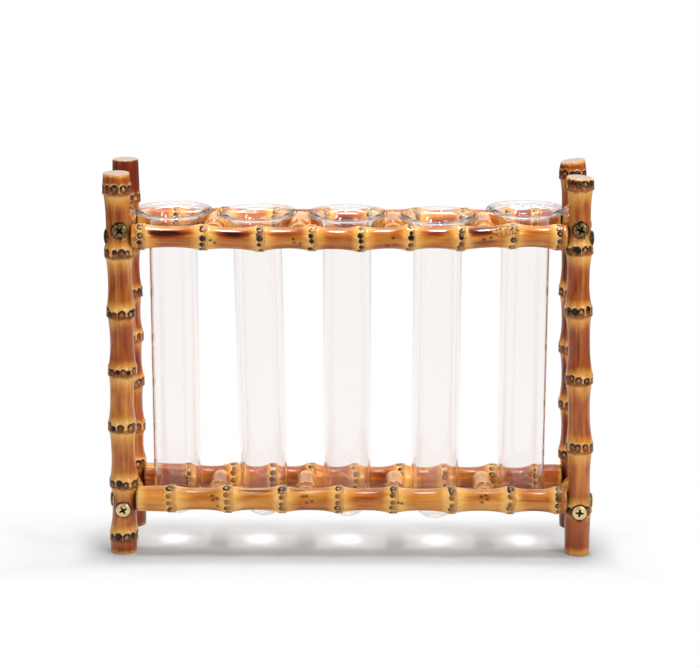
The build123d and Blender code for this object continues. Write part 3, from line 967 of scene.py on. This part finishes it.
def hang_tubes(material):
    """Put a smooth tube in the place of each CAD tube, upright or leaning as it hangs."""
    corners, faces = revolve(tube_profile(), GLASS_STEPS)
    local = np.array(corners)
    height = local[:, 2]
    below = 1 - smooth(height, -FLARE_RADIUS * 1.2, -FLARE_RADIUS * 0.6)
    round_z = TUBE_RADIUS + BEAD_RADIUS - TUBE_LENGTH
    depth = np.hypot(np.hypot(local[:, 0], local[:, 1]), np.minimum(height - round_z, 0))
    for number in range(1, 6):
        node = f"tube_{number}"
        points = node_points(node)
        bottom = points[np.argmin(points[:, 2])]
        mount = [m for m in frame["record"]["mounts"] if m["name"] == node + "_bore"][0]
        up = Vector(mount["axis"]).normalized()
        turn = UP.rotation_difference(up).to_matrix().to_4x4()
        place = Matrix.Translation(Vector(bottom) + up * (TUBE_LENGTH - BEAD_RADIUS)) @ turn
        joint = [j for j in frame["joints"] if j["child"] == node][0]
        piece = add_piece(
            node + "_glass", corners, faces, [material], joint["child"], [node], place)
        set_field(piece.data, "head_place", local + 40 * number, vector=True)
        set_field(piece.data, "bead", smooth(height, -BEAD_RADIUS * 1.3, -BEAD_RADIUS))
        set_field(piece.data, "wall", below * (depth > TUBE_RADIUS - TUBE_WALL / 2))


def screw_body():
    """The outline of a pan-head screw along +Z, from the middle of its head's top to its shank."""
    skirt = HEAD_HEIGHT
    profile = [(0, 0.0)]
    dome = HEAD_HEIGHT - HEAD_EDGE
    for share in (0.18, 0.36, 0.54, 0.7, 0.82, 0.91, 0.97, 1.0):
        sink = dome * (1 - math.sqrt(max(1 - share ** DOME_POWER, 0)))
        profile.append((HEAD_RADIUS * share, sink))
    profile.append((HEAD_RADIUS, skirt - 0.15))
    profile.append((HEAD_RADIUS - 0.15, skirt))
    profile.append((SHANK_RADIUS + 0.2, skirt))
    profile.append((SHANK_RADIUS, skirt + 0.25))
    return profile


def cross_cutter(turn):
    """A solid cross with tapered arms that cuts the recess."""
    work = bmesh.new()
    half = RECESS_LENGTH / 2
    side = RECESS_WIDTH / 2
    round_end = side * 0.45
    outline = []
    for quarter in range(4):
        points = [
            (side * 1.15, side * 1.15), (half - round_end, side), (half, side - round_end),
            (half, round_end - side), (half - round_end, -side)]
        spin = Matrix.Rotation(math.radians(-90 * quarter), 2)
        outline += [spin @ Vector(point) for point in points]
    spin = Matrix.Rotation(turn, 2)
    top = [work.verts.new((*(spin @ point), -1.0)) for point in outline]
    low = [work.verts.new((*(spin @ (point * 0.72)), RECESS_DEPTH)) for point in outline]
    work.faces.new(top)
    work.faces.new(low[::-1])
    for index in range(len(top)):
        after = (index + 1) % len(top)
        work.faces.new((top[after], top[index], low[index], low[after]))
    bmesh.ops.recalc_face_normals(work, faces=work.faces)
    mesh = bpy.data.meshes.new("cutter")
    work.to_mesh(mesh)
    work.free()
    return mesh


def turn_pin(profile, steps):
    """The corners and faces of a pin along +Z from its outline, head first."""
    corners, faces = revolve([(r, -z) for r, z in profile[::-1]], steps)
    return [(x, y, -z) for x, y, z in corners], [face[::-1] for face in faces]


def screw_mesh(length, turn):
    """A whole screw with its recess cut, in millimetres: corners and faces."""
    profile = screw_body()
    profile.append((SHANK_RADIUS, length - SCREW_TIP))
    profile.append((0, length))
    corners, faces = turn_pin(profile, SCREW_STEPS)
    mesh = bpy.data.meshes.new("screw")
    mesh.from_pydata(corners, [], faces)
    body = bpy.data.objects.new("screw", mesh)
    cutter = bpy.data.objects.new("cutter", cross_cutter(turn))
    for item in (body, cutter):
        bpy.context.scene.collection.objects.link(item)
    cut = body.modifiers.new("recess", "BOOLEAN")
    cut.operation = "DIFFERENCE"
    cut.solver = "EXACT"
    cut.object = cutter
    graph = bpy.context.evaluated_depsgraph_get()
    done = body.evaluated_get(graph).to_mesh()
    new_corners = [tuple(corner.co) for corner in done.vertices]
    new_faces = [tuple(face.vertices) for face in done.polygons]
    body.evaluated_get(graph).to_mesh_clear()
    for item in (body, cutter):
        bpy.data.objects.remove(item)
    return new_corners, new_faces


def head_sink(reach):
    """How far the head's dome lies below its top at a distance from its middle."""
    share = np.clip(reach / HEAD_RADIUS, 0, 1)
    return (HEAD_HEIGHT - HEAD_EDGE) * (1 - np.sqrt(np.clip(1 - share ** DOME_POWER, 0, None)))


def set_pins(name, node, material, pins, shapes, sink=0.0, sharp=None):
    """Put pins made along +Z in their places, as one piece that stands for their node."""
    placed = []
    faces = []
    local = []
    for pin, (corners, pin_faces) in zip(pins, shapes):
        spin = UP.rotation_difference(pin.way).to_matrix().to_4x4()
        place = Matrix.Translation(Vector(pin.head) - pin.way * sink) @ spin
        first = len(placed)
        local += corners
        placed += [place @ Vector(corner) for corner in corners]
        faces += [tuple(first + index for index in face) for face in pin_faces]
    piece = add_piece(name, placed, faces, [material], "rack", [node], sharp=sharp)
    local = np.array(local)
    set_field(piece.data, "head_place", local, vector=True)
    return piece, local


def drive_screws(node, material, turns):
    """Replace a group of CAD screws by detailed ones in the same places."""
    pins = [Pin(points) for points in node_solids(node)]
    pins.sort(key=lambda pin: (pin.head[1] > 0, pin.head[0]))
    shapes = [screw_mesh(pin.length, math.radians(turn)) for pin, turn in zip(pins, turns)]
    piece, local = set_pins(node + "_heads", node, material, pins, shapes, sharp=SHARP_ANGLE)
    reach = np.hypot(local[:, 0], local[:, 1])
    depth = local[:, 2] - head_sink(reach)
    inside = (reach < RECESS_LENGTH / 2 + 0.1) & (local[:, 2] < HEAD_HEIGHT)
    set_field(piece.data, "recess", np.where(inside, smooth(depth, 0.05, 0.35), 0))
    set_field(piece.data, "bright", np.where(inside, bump(depth - 0.08, 0.07), 0))
    on_top = 1 - smooth(local[:, 2], HEAD_HEIGHT - HEAD_EDGE, HEAD_HEIGHT)
    set_field(piece.data, "rim", on_top * smooth(reach, HEAD_RADIUS * 0.93, HEAD_RADIUS * 0.985))
    return pins


def drive_brads(node, material):
    """Replace a group of CAD brads by round pins with slightly domed heads, flush with the wood."""
    solids = node_solids(node)
    pins = [Pin(points) for points in solids]
    shapes = []
    for pin, points in zip(pins, solids):
        middle = (points.min(0) + points.max(0)) / 2
        middle[1] = points[np.argmax(np.abs(points[:, 1])), 1]
        pin.head = Vector(middle)
        pin.way = Vector((0, 1 if pin.head.y < 0 else -1, 0))
        shapes.append(turn_pin([
            (0, 0.0), (BRAD_RADIUS * 0.55, 0.03), (BRAD_RADIUS * 0.9, 0.12), (BRAD_RADIUS, 0.25),
            (BRAD_RADIUS, 0.6), (BRAD_RADIUS * 0.8, 0.8), (BRAD_RADIUS * 0.8, pin.length - 1.5),
            (0, pin.length)], BRAD_STEPS))
    set_pins(node + "_pins", node, material, pins, shapes, BRAD_SINK)
    return pins


def pins_on(pins, culm):
    """The pins whose heads sit in a culm's side."""
    found = []
    for pin in pins:
        at, out = culm.locate(pin)
        if 0 < at < culm.length and out.length < culm.ring + 2:
            found.append(pin)
    return found


# How the middle lines of some culms stray to their side, in millimetres: place along the culm and stray, smoothed
# over the blur's length either way
BOW_BLUR = 7.0
BOWS = {
    "post_front_left": [
        (0, -0.6), (10, -0.5), (20, 0.1), (49, 0.25), (62, -0.1), (80, 0.0), (92, 0.3), (107, 0.9),
        (125, 0.5), (139, 0.4), (165, 0.1), (185, -0.2), (202, -0.5)],
    "post_front_right": [
        (0, -0.6), (14, -0.6), (30, 0.1), (45, 0.5), (58, 0.4), (75, 0.0), (110, 0.0), (125, -0.3),
        (136, -0.8), (150, -0.5), (165, -0.2), (200, 0.0)],
    "rail_top_front": [
        (0, 0.0), (18, 0.0), (33, -0.1), (45, -0.4), (55, -0.8), (64, -1.0), (75, -0.5), (84, -0.3),
        (95, -0.4), (105, -0.8), (115, -0.9), (125, -0.5), (138, 0.0), (156, -0.1), (175, 0.0),
        (184, 0.7), (192, 1.2), (200, 1.3), (210, 0.6), (221, 0.6)],
    "rail_bottom_rear": [(0, 0.0), (14, -0.7), (210, -0.7), (225, 0.0)],
}

# Root scars listed by ring from the foot or the left: the turn from the front in degrees, the rise
# above the ring's middle, the radius, and how strong the dark brow (partly painted shade), the dark fill and the
# painted glint are
SCARS = {
    "post_front_left": {
        0: [
            (-84, -2.6, 1.6, 0.3, 0.2, 0.2), (-49, -1.7, 1.4, 0.8, 0.9, 0), (-18, -1.0, 2.0, 1, 0.7, 0),
            (17, -0.7, 1.8, 1, 0, 0.4), (46, -0.3, 1.5, 0.7, 0.8, 0)],
        1: [
            (-47, -0.7, 1.7, 0.9, 0.2, 0), (-13, -0.3, 1.8, 0.9, 0.75, 0), (12, -0.8, 1.6, 0.8, 0.4, 0.3),
            (53, -0.9, 1.9, 0.9, 0, 0.3)],
        2: [
            (-84, -2.9, 1.5, 0.2, 0.1, 0.4), (-34, -1.1, 1.45, 0.6, 0.9, 0),
            (-2, -0.4, 1.7, 0.9, 0.5, 0.1), (43, -0.7, 2.1, 0.5, 0, 0.6)],
        3: [
            (-39, -0.7, 1.6, 0.5, 0.2, 0), (-15, -0.5, 1.3, 0.7, 0.9, 0), (9, -0.5, 1.5, 0.5, 0.1, 0.3),
            (31, -0.8, 1.35, 0.5, 0.8, 0), (60, -0.1, 1.6, 0.6, 0.1, 0.4)],
        4: [
            (-45, -1.4, 1.5, 0.9, 0.5, 0), (-22, -0.9, 1.5, 0.3, 0.2, 0), (8, -0.7, 1.95, 1, 0.1, 0.3),
            (48, -0.9, 1.95, 1, 0, 0.7)],
        5: [
            (-48, -0.0, 1.6, 0.5, 0.3, 0), (-13, 0.4, 1.35, 1, 0.6, 0), (16, -0.3, 1.9, 0.8, 0.3, 0.2),
            (41, -0.6, 1.5, 0.6, 0.2, 0.9)],
        6: [
            (-66, -0.2, 1.7, 0.8, 0.3, 0), (-34, 0.2, 1.6, 0.5, 0.35, 0), (-4, 0.1, 1.95, 1, 0.35, 0.3),
            (33, 0.1, 1.95, 1, 0.1, 0.8), (62, -0.0, 1.6, 0.6, 0.3, 0)],
    },
    "post_front_right": {
        0: [(-44, -0.9, 1.6, 0.6, 0.5, 0), (85, -2.7, 2.2, 0.8, 0.5, 0.3)],
        1: [
            (-36, 0.5, 1.7, 0.5, 0.2, 0.1), (-12, 0.4, 1.6, 0.7, 0.1, 0.2), (22, 0.5, 1.6, 0.8, 0.1, 0.4),
            (55, 0.1, 1.5, 0.6, 0.3, 0)],
        2: [
            (-37, 0.7, 1.5, 1, 0.4, 0.6), (-7, -0.1, 1.6, 0.7, 0, 0.3), (29, -0.6, 1.7, 1, 0.8, 0.5),
            (62, -1.3, 1.1, 0.3, 0.3, 0)],
        3: [
            (-48, 0.2, 1.6, 0.9, 0.9, 0), (-19, -0.1, 1.8, 1, 0.95, 0), (8, 0.1, 1.6, 0.9, 0, 0.6),
            (43, 0.9, 1.6, 0.9, 0.7, 0)],
        4: [
            (-44, -1.0, 1.6, 0.3, 0.3, 0.1), (-13, -0.3, 1.9, 1, 0.7, 0), (20, -0.1, 1.6, 0.9, 0.1, 0.6),
            (46, 0.1, 1.5, 0.5, 0.5, 0)],
        5: [
            (-54, 0.6, 1.5, 0.5, 0.5, 0), (-32, 1.0, 1.5, 0.9, 0.5, 0), (-15, 0.4, 1.6, 1, 0.3, 0),
            (18, 0.5, 1.8, 0.9, 0.5, 0.6), (47, 0.6, 1.6, 0.9, 0.6, 0)],
    },
    "rail_top_front": {
        0: [(56, -0.1, 1.5, 0.9, 0.5, 0.9), (15, -0.3, 1.45, 1, 0.5, 0.5), (-16, -0.1, 1.3, 0.8, 0.9, 0)],
        1: [
            (48, -0.4, 1.6, 0.9, 0.2, 1), (5, -0.4, 1.45, 1, 1, 0.1), (-23, 0.0, 1.25, 0.9, 0.75, 0.1),
            (-60, 0.4, 1.3, 0.9, 1, 0)],
        2: [
            (50, -0.2, 1.5, 0.9, 0.4, 0.9), (11, -0.2, 1.5, 1, 0.95, 0.1), (-16, -0.0, 0.95, 0.9, 1, 0),
            (-51, -1.1, 1.2, 0.5, 0.5, 0)],
        3: [
            (45, -0.3, 1.3, 0.4, 0, 1), (20, 0.1, 1.2, 0.9, 1, 0), (-3, -0.3, 1.15, 0.9, 1, 0),
            (-43, 0.4, 1.2, 0.9, 0.8, 0)],
        4: [
            (60, -0.4, 1.2, 0.9, 0.6, 0.4), (25, -0.2, 1.3, 1, 0.9, 0), (1, -0.4, 1.15, 0.9, 0.9, 0),
            (-28, -0.7, 1.2, 0.9, 0.8, 0)],
        5: [
            (69, -0.9, 1.7, 0.3, 0, 1), (32, -0.8, 1.1, 0.8, 0.8, 0), (11, -0.9, 1.45, 1, 0.95, 0),
            (-22, -0.7, 1.2, 0.7, 0.5, 0.1)],
        6: [
            (85, -1.2, 1.5, 0.3, 0, 1), (43, -1.0, 1.5, 0.8, 0.5, 0.2), (11, -0.6, 1.1, 0.6, 0.7, 0),
            (-16, -1.6, 1.3, 0.5, 0.5, 0.1)],
        7: [(73, -1.4, 1.5, 0.3, 0.1, 0.8), (30, -0.9, 1.3, 0.5, 0.4, 0.1), (-7, -0.5, 1.4, 0.9, 0.7, 0.5)],
        8: [(80, -1.9, 1.5, 0.9, 0.6, 0.9), (26, -2.1, 1.6, 1, 0.8, 0.5), (-9, -1.4, 1.3, 0.6, 0.5, 0.1)],
    },
    "rail_bottom_front": {
        0: [
            (66, 0.6, 1.9, 1, 0.8, 0.7), (27, 1.0, 1.3, 0.3, 0.1, 0), (-2, 0.6, 1.2, 0.3, 0.1, 0),
            (-38, 1.0, 1.1, 0.6, 1, 0)],
        1: [(72, 0.8, 1.9, 1, 0.9, 0.9), (34, 0.6, 1.4, 0.3, 0.15, 0), (4, 0.4, 1.3, 0.25, 0.1, 0)],
        2: [(66, -0.3, 2.1, 1, 1, 0.5), (24, -0.1, 1.2, 0.4, 0.3, 0), (-5, -0.1, 1.1, 0.3, 0.2, 0)],
        3: [(68, -0.2, 1.6, 0.9, 0.4, 0.9), (30, 0.0, 1.2, 0.25, 0.1, 0), (2, -0.1, 1.2, 0.3, 0.1, 0)],
        4: [(70, -0.2, 1.8, 1, 0.9, 0.6), (35, 0.1, 1.3, 0.4, 0.4, 0), (5, -0.1, 1.2, 0.3, 0.2, 0)],
        5: [(60, -0.1, 1.6, 0.9, 0.9, 0.7), (24, -0.1, 1.3, 0.35, 0.2, 0), (-8, -0.3, 1.2, 0.3, 0.2, 0)],
        6: [(70, -0.6, 1.8, 1, 0.9, 0.5), (31, -0.3, 1.3, 0.35, 0.2, 0), (-2, -0.3, 1.2, 0.3, 0.2, 0)],
    },
}

# How dark and red each internode is, from the foot or the left, where the photo shows it
TONES = {
    "post_front_left": (0.95, 0.25, 0.1, 0.1, 1.05, 0.1, 0.4, 1.0),
    "post_front_right": (1.55, 0.5, 0.85, 1.1, 0.8, -0.05, 0.1),
    "rail_top_front": (0.0, 0.15, 0.05, 0.25, 0.45, 0.1, 0.1, 0.1, 0.0, -0.3),
    "rail_bottom_front": (-0.5, -0.45, -0.7, 0.0, 0.15, -0.6, -0.9, -0.1, 0.1),
}

# Dark streaks by internode, counted from the foot or the left, among them painted shade along the undersides of
# the front rails (about -72 degrees round on the top front rail, about -50 on the bottom front rail): the turn
# from the front in degrees, its half width, the middle along the internode, its half length and the strength
BURNS_AND_SHADE = {
    "post_front_left": {
        0: [(0, 80, 0.2, 0.5, 0.45)],
        1: [(-30, 30, 0.6, 0.3, 0.3), (60, 20, 0.5, 0.4, 0.3)],
        2: [(20, 20, 0.5, 0.3, 0.28), (-35, 25, 0.5, 0.4, 0.25)],
        3: [(-15, 30, 0.5, 0.4, 0.3), (35, 20, 0.5, 0.3, 0.22)],
        4: [(14, 30, 0.5, 0.34, 0.42), (-24, 16, 0.55, 0.3, 0.3), (62, 10, 0.6, 0.4, 0.4)],
        5: [(-26, 28, 0.48, 0.34, 0.4), (12, 16, 0.5, 0.35, 0.34), (38, 12, 0.55, 0.3, 0.32)],
        6: [(-35, 30, 0.55, 0.3, 0.36), (12, 24, 0.55, 0.28, 0.38)],
        7: [(-28, 40, 0.75, 0.4, 0.42)],
    },
    "post_front_right": {
        0: [(0, 80, 0.25, 0.4, 0.42), (-20, 16, 0.6, 0.4, 0.3)],
        1: [(0, 40, 0.5, 0.3, 0.18)],
        2: [(-10, 24, 0.35, 0.3, 0.36), (30, 18, 0.5, 0.4, 0.3), (-40, 18, 0.5, 0.4, 0.28)],
        3: [(-8, 11, 0.48, 0.34, 0.72), (-34, 26, 0.5, 0.4, 0.42), (50, 22, 0.5, 0.4, 0.32)],
        4: [(-20, 14, 0.42, 0.26, 0.62), (8, 34, 0.55, 0.32, 0.34), (58, 16, 0.6, 0.35, 0.36)],
        5: [(-12, 28, 0.5, 0.3, 0.4), (50, 18, 0.5, 0.3, 0.28)],
        6: [],
    },
    "post_rear_left": {
        8: [(0, 200, 0.6, 1.3, 0.62)],
        7: [(40, 40, 0.6, 0.5, 0.4)],
        6: [(50, 20, 0.5, 0.4, 0.4)],
        5: [(45, 14, 0.5, 0.4, 0.5)],
        2: [(50, 20, 0.5, 0.45, 0.4)],
        1: [(50, 22, 0.4, 0.5, 0.75)],
        0: [(50, 60, 0.5, 0.9, 0.5)],
    },
    "post_rear_right": {
        6: [(10, 30, 0.5, 0.4, 0.3)],
        5: [(-48, 20, 0.5, 0.55, 0.85), (-10, 30, 0.5, 0.4, 0.45)],
        4: [(-45, 18, 0.5, 0.45, 0.72)],
        3: [(-50, 18, 0.5, 0.45, 0.78)],
        2: [(-45, 20, 0.5, 0.45, 0.65)],
        1: [(-45, 22, 0.5, 0.5, 0.75)],
        0: [(-45, 50, 0.4, 0.9, 0.75)],
    },
    "rail_bottom_rear": {
        0: [(0, 120, 0.5, 1.2, 0.55)], 3: [(0, 90, 0.5, 0.9, 0.25)], 4: [(0, 120, 0.5, 1.2, 0.35)],
        8: [(0, 120, 0.5, 1.2, 0.45)]},
    "rail_top_front": {
        0: [],
        1: [(30, 22, 0.42, 0.36, 1.2), (-34, 14, 0.45, 0.4, 0.32), (-72, 22, 0.5, 0.42, 0.75)],
        2: [(32, 24, 0.55, 0.3, 1.0), (-10, 16, 0.5, 0.4, 0.35), (-72, 20, 0.5, 0.42, 0.85)],
        3: [(28, 12, 0.45, 0.4, 0.42), (0, 14, 0.5, 0.3, 0.22), (-72, 20, 0.5, 0.42, 0.75)],
        4: [(20, 26, 0.5, 0.35, 0.3), (-72, 20, 0.5, 0.42, 0.75)],
        5: [(32, 22, 0.3, 0.3, 0.34), (-30, 20, 0.5, 0.3, 0.25), (-72, 20, 0.5, 0.42, 0.75)],
        6: [(36, 24, 0.5, 0.35, 0.62), (-35, 18, 0.55, 0.35, 0.42), (-72, 18, 0.5, 0.42, 0.85)],
        7: [(46, 34, 0.4, 0.34, 0.95), (-20, 34, 0.45, 0.4, 0.5), (-72, 20, 0.5, 0.42, 0.95)],
        8: [(26, 24, 0.5, 0.34, 0.36), (-72, 20, 0.5, 0.42, 0.95)],
        9: [],
    },
    "rail_bottom_front": {
        0: [(20, 30, 0.4, 0.4, 0.2)],
        1: [(40, 22, 0.5, 0.4, 0.2), (-55, 20, 0.5, 0.5, 0.3)],
        2: [(62, 14, 0.55, 0.4, 0.75), (34, 12, 0.5, 0.35, 0.4), (-55, 20, 0.4, 0.5, 0.35)],
        3: [(66, 12, 0.2, 0.3, 0.7), (30, 14, 0.5, 0.3, 0.25), (-50, 20, 0.5, 0.5, 0.35)],
        4: [(30, 16, 0.5, 0.35, 0.35), (-50, 20, 0.5, 0.5, 0.4)],
        5: [(38, 18, 0.5, 0.4, 0.3), (-48, 20, 0.55, 0.45, 0.42)],
        6: [(34, 16, 0.5, 0.4, 0.36), (-50, 20, 0.5, 0.5, 0.4)],
        7: [(10, 18, 0.5, 0.35, 0.3), (-52, 20, 0.55, 0.4, 0.6)],
        8: [],
    },
}

DIVIDER_BURNS = {index: [(55, 20, 0.5, 0.5, 0.35), (-55, 20, 0.5, 0.5, 0.35)] for index in range(9)}


def build_object():
    """Dress every node."""
    bamboo = bamboo_material()
    metals = {
        "bronze": metal_material("dark_bronze", "#3C3220", "#AC9252", "#120D08", 0.3),
        "brass": metal_material("pale_brass", "#ECC689", "#F8DDA6", "#241208", 0.3)}
    steel = pin_material()
    glass = glass_material()
    screws = []
    for (slot, side), turns in SCREW_TURNS.items():
        screws += drive_screws(f"{slot}_screws_{side}", metals[slot], turns)
    brads = drive_brads("front_brads", steel) + drive_brads("rear_brads", steel)
    seed = 0
    post_tones = {
        "post_front_left": 0.0, "post_front_right": 0.0, "post_rear_left": 0.75, "post_rear_right": 0.7}
    for node, tone in post_tones.items():
        seed += 1
        culm = Culm(node, UP, FRONT, WAISTS[node], POST_SCARS, POST_SCAR_RADIUS, False, seed)
        culm.build(bamboo, BURNS_AND_SHADE.get(node), pins=pins_on(screws, culm), tone=tone)
    rail_tones = {
        "rail_top_front": 0.0, "rail_top_rear": 0.5, "rail_bottom_front": -0.6, "rail_bottom_rear": 0.7}
    for node, tone in rail_tones.items():
        seed += 1
        culm = Culm(node, RIGHT, FRONT, WAISTS[node], RAIL_SCARS, RAIL_SCAR_RADIUS, True, seed)
        warts = None
        if node == "rail_top_front":
            warts = (culm.rings[7] - 3.5, 42, 9.0, 36, 190)
        culm.build(bamboo, BURNS_AND_SHADE.get(node), brads=pins_on(brads, culm), warts=warts, tone=tone)
    for level in ("top", "bottom"):
        for side in ("left", "right"):
            seed += 1
            node = f"side_rail_{level}_{side}"
            culm = Culm(node, -FRONT, UP, SIDE_RAIL_WAIST, RAIL_SCARS, RAIL_SCAR_RADIUS, False, seed)
            culm.build(bamboo, tone=0.2)
    waists = {"top": TOP_DIVIDER_WAIST, "bottom": BOTTOM_DIVIDER_WAIST}
    for level, waist in waists.items():
        for number in range(1, 5):
            seed += 1
            node = f"divider_{level}_{number}"
            culm = Culm(node, -FRONT, UP, waist, DIVIDER_SCARS, RAIL_SCAR_RADIUS, False, seed)
            culm.build(bamboo, DIVIDER_BURNS, tone=-0.2)
    hang_tubes(glass)


def add_camera():
    """The camera that took the photo."""
    level = Vector((math.sin(CAMERA_TURN), math.cos(CAMERA_TURN), 0))
    ahead = level * math.cos(CAMERA_DOWN) - UP * math.sin(CAMERA_DOWN)
    right = level.cross(UP)
    up = right.cross(ahead)
    rolled_right = right * math.cos(CAMERA_ROLL) + up * math.sin(CAMERA_ROLL)
    rolled_up = up * math.cos(CAMERA_ROLL) - right * math.sin(CAMERA_ROLL)
    lens = bpy.data.cameras.new("camera")
    lens.lens = CAMERA_LENS
    lens.sensor_fit = "HORIZONTAL"
    lens.sensor_width = SENSOR_WIDTH
    lens.clip_start = 0.01
    lens.clip_end = 50
    camera = bpy.data.objects.new("camera", lens)
    turn = Matrix((rolled_right, rolled_up, -ahead)).transposed().to_4x4()
    camera.matrix_world = Matrix.Translation(Vector(CAMERA_PLACE) * MM) @ turn
    bpy.context.scene.collection.objects.link(camera)
    bpy.context.scene.camera = camera


def add_lamp(name, place, aim, width, height, power):
    """A soft rectangular lamp that looks at a point; lengths in metres."""
    light = bpy.data.lights.new(name, "AREA")
    light.shape = "RECTANGLE"
    light.size = width
    light.size_y = height
    light.energy = power
    lamp = bpy.data.objects.new(name, light)
    look = (Vector(aim) - Vector(place)).normalized()
    lamp.matrix_world = Matrix.Translation(place) @ look.to_track_quat("-Z", "Y").to_matrix().to_4x4()
    bpy.context.scene.collection.objects.link(lamp)


def add_floor():
    """A white floor that keeps the object's shadow."""
    corners = [(x * FLOOR_HALF, y * FLOOR_HALF, 0) for x, y in ((-1, -1), (1, -1), (1, 1), (-1, 1))]
    mesh = bpy.data.meshes.new("studio_floor")
    mesh.from_pydata(corners, [], [(0, 1, 2, 3)])
    floor = bpy.data.objects.new("studio_floor", mesh)
    bpy.context.scene.collection.objects.link(floor)
    g = Paint("studio_floor")
    mesh.materials.append(g.material)
    g.give(g.shader, {"Base Color": FLOOR_COLOUR, "Roughness": 1.0, "Specular IOR Level": 0.0})
    spot = g.new("ShaderNodeTexCoord").outputs["Object"]
    split = g.new("ShaderNodeSeparateXYZ")
    g.link(spot, split.inputs[0])
    across, away = split.outputs["X"], split.outputs["Y"]
    clear = g.step(across, *CLEAR_LEFT, 1.0, 0.0)
    clear = g.maths("MAXIMUM", clear, g.step(across, *CLEAR_RIGHT))
    clear = g.maths("MAXIMUM", clear, g.step(away, *CLEAR_FRONT, 1.0, 0.0))
    clear = g.maths("MAXIMUM", clear, g.step(away, *CLEAR_REAR))
    length = g.new("ShaderNodeVectorMath")
    length.operation = "LENGTH"
    g.link(spot, length.inputs[0])
    far = g.step(length.outputs["Value"], *GLOSS_FLOOR, 0.0, GLOSS_DIM)
    white = g.new("ShaderNodeEmission")
    g.give(white, {"Strength": g.maths("SUBTRACT", 1.0, g.times(g.mirrored(), far))})
    g.show_either(g.times(clear, g.seen_directly()), white)


def add_world():
    """A dim soft light from all round, white where it is seen, and in mirror rays bright only behind."""
    world = bpy.data.worlds.new("studio")
    g = Graph(world)
    bpy.context.scene.world = world
    split = g.new("ShaderNodeSeparateXYZ")
    g.link(g.new("ShaderNodeTexCoord").outputs["Generated"], split.inputs[0])
    backdrop = g.step(split.outputs["Y"], *GLOSS_SKY, GLOSS_FRONT, 1.0)
    glossy = g.new("ShaderNodeMix")
    g.give(glossy, {"Factor": g.mirrored(), "A": 1.0, "B": backdrop})
    level = g.step(g.seen_directly(), 0.0, 1.0, WORLD_LEVEL, glossy.outputs["Result"], "LINEAR")
    g.give(g.tree.nodes["Background"], {"Color": (1, 1, 1, 1), "Strength": level})


build_object()
add_camera()
add_floor()
add_world()
for name, (place, width, height, power) in LAMPS.items():
    add_lamp(name, place, LAMP_AIM, width, height, power)
bpy.context.scene.view_settings.view_transform = "Standard"
bpy.context.scene.cycles.max_bounces = BOUNCES
bpy.context.scene.cycles.transmission_bounces = BOUNCES
bpy.context.scene.cycles.glossy_bounces = GLOSSY_BOUNCES
bpy.context.scene.cycles.transparent_max_bounces = BOUNCES
